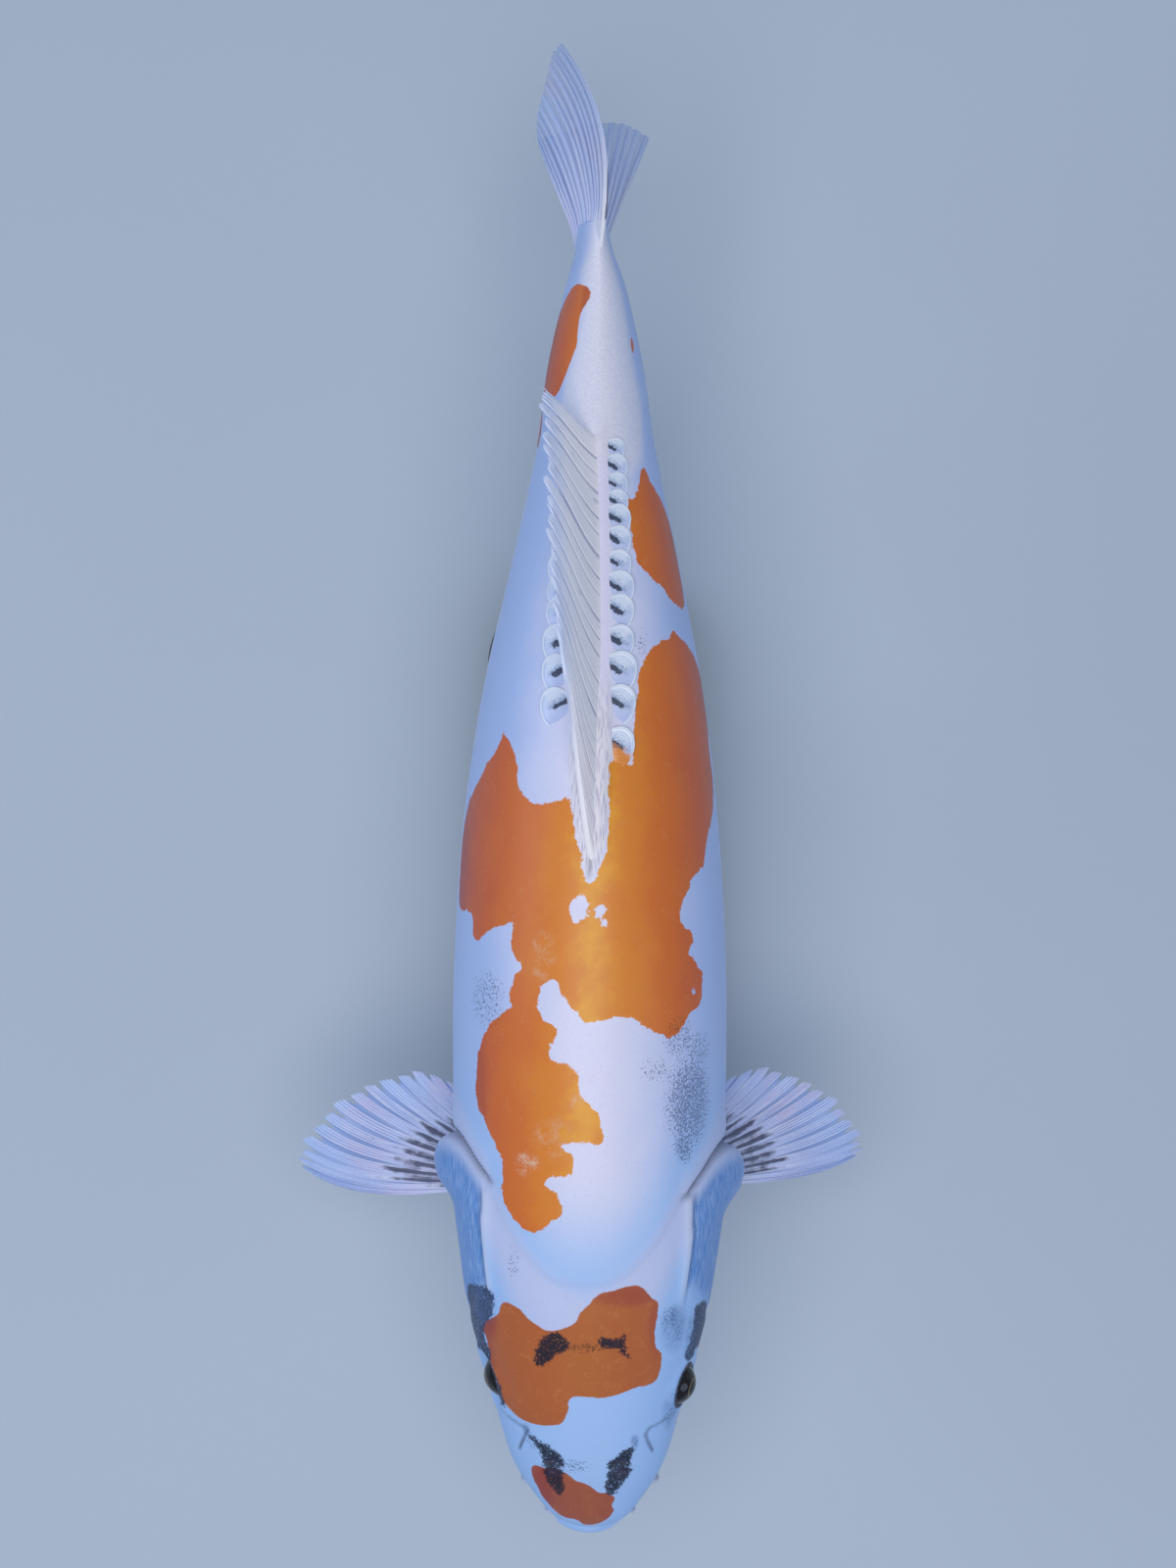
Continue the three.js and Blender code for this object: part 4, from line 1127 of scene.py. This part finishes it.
def white_skin(p, broad, medium, fine, grain, strands):
    """The ground colour: pearl on the back, flanks tinted with painted blue light, a pale belly, and the
    sheath's folds with painted shade in their troughs.
    """
    around, head, at, girth = p.values("around head at girth")
    above = around.step(0.88, 1.2, 0.85, 0.1)
    # The nape's lilac lies between painted blue light and shade on the shoulder and the head.
    nape = p.ramp(head + girth.size() * 0.25, (-1.0, AZURE_CAST), (1.8, LILAC), (4.0, LILAC), (8.5, AZURE_CAST))
    # Painted blue light and shade on the gill covers, streaked.
    blue = p.mix((strands + grain * 0.4).step(-0.12, 0.22), TEAL_CAST, (0.32, 0.49, 0.80))
    pink = p.mix((grain + fine).step(-0.15, 0.2), (0.78, 0.74, 0.84), (0.88, 0.84, 0.86))
    folds = p.noise(4, 3, p.vector(at * 0.2 + (girth + 0.4).size() * 0.7, girth * 2))
    # The folds are darker where their bump is low: painted shade in the troughs.
    sheath = p.mix(folds.step(-0.2, 0.06), (0.58, 0.52, 0.66), (0.94, 0.88, 0.92))
    # Pearl on the back turns to the painted blue light of the flanks.
    white = p.ramp(around + broad * 0.25, (0.05, PEARL), (0.62, FLANK_WITH_BLUE_CAST), (0.85, FLANK_WITH_BLUE_CAST), (1.15, BELLY))
    white = p.over(
        white,
        ((broad + medium * 0.6).step(0.0, 0.4) * around.step(0, 0.5, 0.4, 0), BLUSH),
        (head.step(-9, 0.5) * above, nape),
        (fine.step(-0.05, 0.25) * 0.14, (0.40, 0.5, 0.78)),
        (p.value("gill") * (above + 0.1), blue),
        # The crest is painted lighter: a painted highlight along the ridge.
        (p.value("crest") * 0.55, (0.74, 0.74, 0.88)),
        (p.value("pink") * 0.7, pink),
        (p.value("sheath"), sheath),
    )
    return white, folds


def orange_skin(p, broad, medium, fine, on_head):
    """The orange, with red and pale places. It is browner on the head, partly its own tone and partly
    painted shade.
    """
    around, at, red, pale = p.values("around at red pale")
    return p.over(
        p.ramp(around + broad * 0.3 + medium * 0.15, *ORANGES),
        # Browner on the head: partly its own tone, partly painted shade.
        (on_head * 0.9, p.mix(at.step(3, 12), (0.38, 0.09, 0.055), (0.49, 0.125, 0.035))),
        ((fine + medium).step(0.0, 0.5) * 0.3, (0.82, 0.36, 0.10)),
        (red * 0.75, (0.34, 0.04, 0.035)),
        (pale * (medium * 4.0 + fine * 3.0 + 0.3), (0.84, 0.56, 0.40)),
    )


def skin_material():
    """Ground, orange, black, dots and shadows. Noise added to the depth in a marking frays its border."""
    p = Paint("koi_skin", Coat_Weight=0.2, Coat_Roughness=0.34, IOR=1.37)
    at, girth, around, head, orange, dots = p.values("at girth around head orange dots")
    broad, medium, fine = p.noise(45, 3), p.noise(210, 3), p.noise(900, 3)
    grain = p.noise(1500, 2)
    strands = p.noise(2.6, 3, p.vector(at * 0.3, girth * 2))
    on_head = head.step(-0.3, 0.8)
    white, folds = white_skin(p, broad, medium, fine, grain, strands)

    ragged = (medium * 0.75 + fine * 0.3) * on_head.step(0, 1, 1, 0.35) * at.step(84, 88, 1, 0.3)
    inky = medium * 0.5 + fine * 0.9 + grain * 0.3
    ink = p.mix(girth.size().step(6, 8) * (strands * 1.5 + 0.6), SUMI, INDIGO)
    dense = (fine + grain).step(0.06, 0.32, 0.97, 0.4)
    specks = (p.noise(1250, 3) * 1.1 + dots * 0.3).step(0.12, 0.26)
    speck = p.mix(orange.step(-0.1, 0.1), (0.09, 0.13, 0.26), (0.14, 0.05, 0.02))
    # The pores of the lateral line lie where the way round is a quarter turn.
    pores = (around - 1.0).size().step(0.0, 0.03, 1, 0) * (at * 4).math("SINE").step(0.4, 0.9)
    pores = pores * at.step(30, 33)
    colour = p.over(
        white,
        ((orange + ragged).step(-0.04, 0.07), orange_skin(p, broad, medium, fine, on_head)),
        ((p.value("black") + inky).step(-0.14, 0.06) * dense, ink),
        (specks * dots.step(0.02, 0.2) * 0.75, speck),
        # Painted blue shade, mottled by noise.
        (p.value("bruise") * (medium * 1.5 + fine * 1.5 + grain + 0.7), (0.10, 0.19, 0.40)),
        # Painted shade in the hollows of the skin and on the inner side of the eye rims.
        (p.value("hollow").at_most(1.0) * 0.9, (0.04, 0.03, 0.075)),
        (pores * 0.35, (0.25, 0.3, 0.45)),
        (p.value("barbel") * 0.7, (0.62, 0.62, 0.74)),
    )
    gill, sheath, pink = p.values("gill sheath pink")
    pebbles = p.cells(700).step(0.0, 0.7) * (pink * 0.8 + on_head * 0.25)
    height = grain * 0.3 + pebbles + medium * 0.6 - pores * 1.2
    height = height + strands * gill * 2.0 + folds * sheath * 6.0
    rough = on_head * 0.08 + medium * 0.2 + fine * 0.1 + 0.44
    return p.finish(Base_Color=colour, Roughness=rough, Normal=p.bump(height, 0.00012))


# By whether its web lets light through: the colour of a fin's rays at the root, and of its web there and at
# the tip.
# The web's dark tones are partly its own and partly painted shade in the grooves among the rays.
FIN_TONES = {
    True: [(0.50, 0.60, 0.88), (0.42, 0.42, 0.66), (0.30, 0.42, 0.78)],
    False: [(0.74, 0.70, 0.84), (0.22, 0.21, 0.35), (0.24, 0.36, 0.68)],
}


def fin_material(name, clear):
    """clear: the web between the rays lets light through."""
    p = Paint(name, Coat_Weight=0.15, Coat_Roughness=0.3, IOR=1.37)
    ray, reach, order, cream, dark = p.values("ray reach order cream black")
    medium, fine = p.noise(260, 3), p.noise(1100, 2)
    strands = p.noise(3.5, 3, p.vector(order, reach * 0.8))
    faint = p.noise(1, 1, p.vector(order * 0.8, reach)).step(-0.1, 0.12)
    root, *web = FIN_TONES[clear]
    bone = p.ramp(reach + medium * 0.3, (0.0, root), (0.45, (0.62, 0.68, 0.92)), (1.0, (0.54, 0.65, 0.94)))
    creamy = p.ramp(reach + medium * 0.2, (0.0, (1.0, 0.93, 0.92)), (0.6, (1.0, 0.94, 0.97)),
                    (1.0, (0.72, 0.78, 0.98)))
    bone = p.over(
        bone,
        (p.noise(28, 2).step(0.02, 0.2) * 0.45, (0.80, 0.60, 0.74)),
        (cream, creamy),
        (strands.step(-0.05, 0.25) * 0.4, (0.98, 0.93, 0.98)),
    )
    web = p.mix(cream * 0.6, p.mix(reach, *web), (0.66, 0.60, 0.70))
    # The web is darker where it lies sunk among the rays: partly its own tone, partly painted shade in the
    # grooves.
    groove_shade = (ray * -1.0 - strands * 0.5 - fine * 0.2 + 1.0).step(0.35, 0.85)
    # The black lies in a stripe along each ray, and the web between the stripes stays light.
    stripes = order.math("FRACT").hill(0.5, 0.5)
    black = (dark * 1.2 + medium * 1.3 + strands * 2.2 + stripes * 0.9 - 0.97).step(0.1, 0.95)
    colour = p.over(
        bone,
        (groove_shade * (faint * 0.5 + 0.45) * (dark * -0.7 + 1.0), web),
        (black * 0.84, (0.026, 0.027, 0.075)),
    )
    joints = (reach * 170).math("SINE").step(-0.2, 0.9) * ray * reach.step(0.25, 0.5)
    height = fine * 0.4 + joints * 0.35 + strands * 1.6
    inputs = {"Base_Color": colour, "Roughness": medium * 0.2 + 0.42, "Normal": p.bump(height, 0.0001)}
    if clear:
        through = reach.step(0.15, 0.9) * (ray * -0.7 + 1.0)
        inputs["Alpha"] = (through * -0.7 + medium * 0.1 + 1.0).at_most(1.0)
    return p.finish(**inputs)


def scale_material():
    """A dark dash crosses each scale, and the skin behind it clears from teal to a pearl that is a painted
    highlight.
    """
    p = Paint("koi_mirror_scales", Coat_Weight=0.6, Coat_Roughness=0.12)
    x, y, tone, orange = p.values("scale_x scale_y tone orange")
    out = (x * x + y * y).math("SQRT")
    medium, fine = p.noise(350, 3), p.noise(1300, 2)
    rings = (out * 46 + medium * 4).math("SINE")
    body = p.ramp(y + medium * 0.5, (-0.6, (0.52, 0.58, 0.86)), (0.1, (0.60, 0.66, 0.90)),
                  (0.7, (0.50, 0.60, 0.80)))
    bar = y + x * 0.1 + medium * 0.3 + fine * 0.12
    dash = bar.hill(0.1, 0.26) * (x - tone * 0.45).step(-0.3, 0.2, 1, 0) * x.step(-0.9, -0.65)
    dash = (dash * tone.step(0.4, 1, 0.75, 1.1) + fine * 0.35).step(0.28, 0.62)
    behind = bar.step(0.05, 0.2) * (x + medium - tone * 0.4).step(-0.1, 0.5, 1, 0)
    # Painted highlight: the skin behind the dash clears from teal to pearl.
    teal_to_sheen = p.mix((bar + fine * 0.6).step(0.1, 0.55), (0.20, 0.31, 0.50), (0.80, 0.85, 0.96))
    rim = out.step(0.87, 0.93) * (y * 0.8 + x * 0.6).step(-0.3, 0.1)
    colour = p.over(
        body,
        (behind * 0.9, teal_to_sheen),
        (dash * 0.92, (0.024, 0.03, 0.06)),
        (rim * 0.85, (0.90, 0.94, 1.0)),
        (orange * (y * -1.0 + medium).step(-0.3, 0.2), (0.80, 0.26, 0.03)),
    )
    return p.finish(Base_Color=colour, Roughness=medium * 0.2 + 0.28,
                    Normal=p.bump(rings * 0.5 + fine * 0.5, 0.00004))


def eye_material():
    """Pupil, a thin pale ring, a dark iris and the black rim."""
    p = Paint("koi_eye", Coat_Weight=0.5, Coat_Roughness=0.03, IOR=1.3)
    out, upper = p.values("out upper")
    medium, fine = p.noise(500, 3), p.noise(2600, 2)
    iris = p.mix((upper + medium * 0.8).step(-0.5, 0.1), (0.04, 0.027, 0.016), (0.008, 0.006, 0.007))
    colour = p.over(
        iris,
        ((fine + medium).step(0.08, 0.35) * 0.3, (0.22, 0.14, 0.05)),
        ((out + medium * 0.04).hill(0.46, 0.04) * 0.5, (0.50, 0.34, 0.13)),
        (out.step(0.41, 0.44, 1, 0), (0.004, 0.004, 0.006)),
        (out.step(0.8, 0.95), (0.008, 0.007, 0.01)),
    )
    return p.finish(Base_Color=colour, Roughness=fine * 0.04 + 0.08, Normal=p.bump(medium, 0.00002))


def stand_material():
    p = Paint("stand_paint", Coat_Weight=0.15, Coat_Roughness=0.3)
    cloudy, orange_peel = p.noise(14, 3), p.noise(1400, 2)
    colour = p.mix(cloudy.step(-0.3, 0.3), (0.036, 0.037, 0.045), (0.052, 0.053, 0.06))
    return p.finish(Base_Color=colour, Roughness=orange_peel * 0.15 + cloudy * 0.1 + 0.42,
                    Normal=p.bump(orange_peel, 0.00003))


def floor_material():
    p = Paint("studio_floor")
    cloudy, fine = p.noise(1.6, 2), p.noise(600, 2)
    colour = p.mix(cloudy.step(-0.4, 0.4), (0.50, 0.56, 0.63), (0.54, 0.60, 0.67))
    return p.finish(Base_Color=colour, Roughness=fine * 0.1 + 0.8, Normal=p.bump(fine, 0.00005))


# ---- Floor, lights and camera ----
FLOOR = {"half": 4.0, "rows": 17}


def make_floor(material):
    line = np.linspace(-FLOOR["half"], FLOOR["half"], FLOOR["rows"])
    points = [(x, y, 0.0) for y in line for x in line]
    faces = quads(np.arange(len(points)).reshape(len(line), len(line)))
    mesh = bpy.data.meshes.new("studio_floor")
    mesh.from_pydata(points, [], faces.tolist())
    mesh.materials.append(material)
    floor = bpy.data.objects.new("studio_floor", mesh)
    bpy.context.collection.objects.link(floor)


# Name, place, what it points at, its disk's size, watts and colour.
LIGHTS = [
    ("overhead", (-0.1, -0.25, 2.3), (0, 0, 0.1), 1.7, 25, (1, 0.97, 0.94)),
    ("side_fill", (-1.9, 0.3, 1.0), (0, 0, 0.15), 1.3, 9, (0.64, 0.80, 1)),
    ("far_fill", (1.7, -0.9, 1.1), (0, 0, 0.15), 1.2, 5, (0.64, 0.80, 1)),
]
SKYLIGHT = {"colour": (0.52, 0.70, 1, 1), "strength": 0.36}


def make_light(name, place, target, size, watts, colour):
    light = bpy.data.lights.new(name, "AREA")
    light.shape, light.size, light.energy, light.color = "DISK", size, watts, colour
    lamp = bpy.data.objects.new(name, light)
    bpy.context.collection.objects.link(lamp)
    lamp.location = place
    lamp.rotation_euler = (Vector(target) - Vector(place)).to_track_quat("-Z", "Y").to_euler()


def make_studio():
    for light in LIGHTS:
        make_light(*light)
    world = bpy.data.worlds.new("studio")
    bpy.context.scene.world = world
    world.use_nodes = True
    background = world.node_tree.nodes["Background"]
    background.inputs["Color"].default_value = SKYLIGHT["colour"]
    background.inputs["Strength"].default_value = SKYLIGHT["strength"]
    bpy.context.scene.view_settings.view_transform = "Standard"


# view: the length of the picture's long side at the height of the fish's axis, in metres.
CAMERA = {"place": (-0.0008, 0.052), "height": 1.3, "view": 0.634}


def make_camera():
    """Straight above the fish, as the photo was taken."""
    data = bpy.data.cameras.new("camera")
    data.lens = data.sensor_width * CAMERA["height"] / CAMERA["view"]
    camera = bpy.data.objects.new("camera", data)
    bpy.context.collection.objects.link(camera)
    camera.location = (*CAMERA["place"], AXIS_Z + CAMERA["height"])
    bpy.context.scene.camera = camera


# ---- The model ----
make_skin(skin_material())
make_fins(fin_material("koi_fins", False), fin_material("koi_tail_fin", True))
make_scales(scale_material())
for name in EYES:
    make_eye(name, eye_material())
stand = stand_material()
for node in ("stand_base", "stand_rod_front", "stand_rod_rear"):
    for material_slot in bpy.data.objects[node].material_slots:
        material_slot.material = stand
make_floor(floor_material())
make_studio()
make_camera()
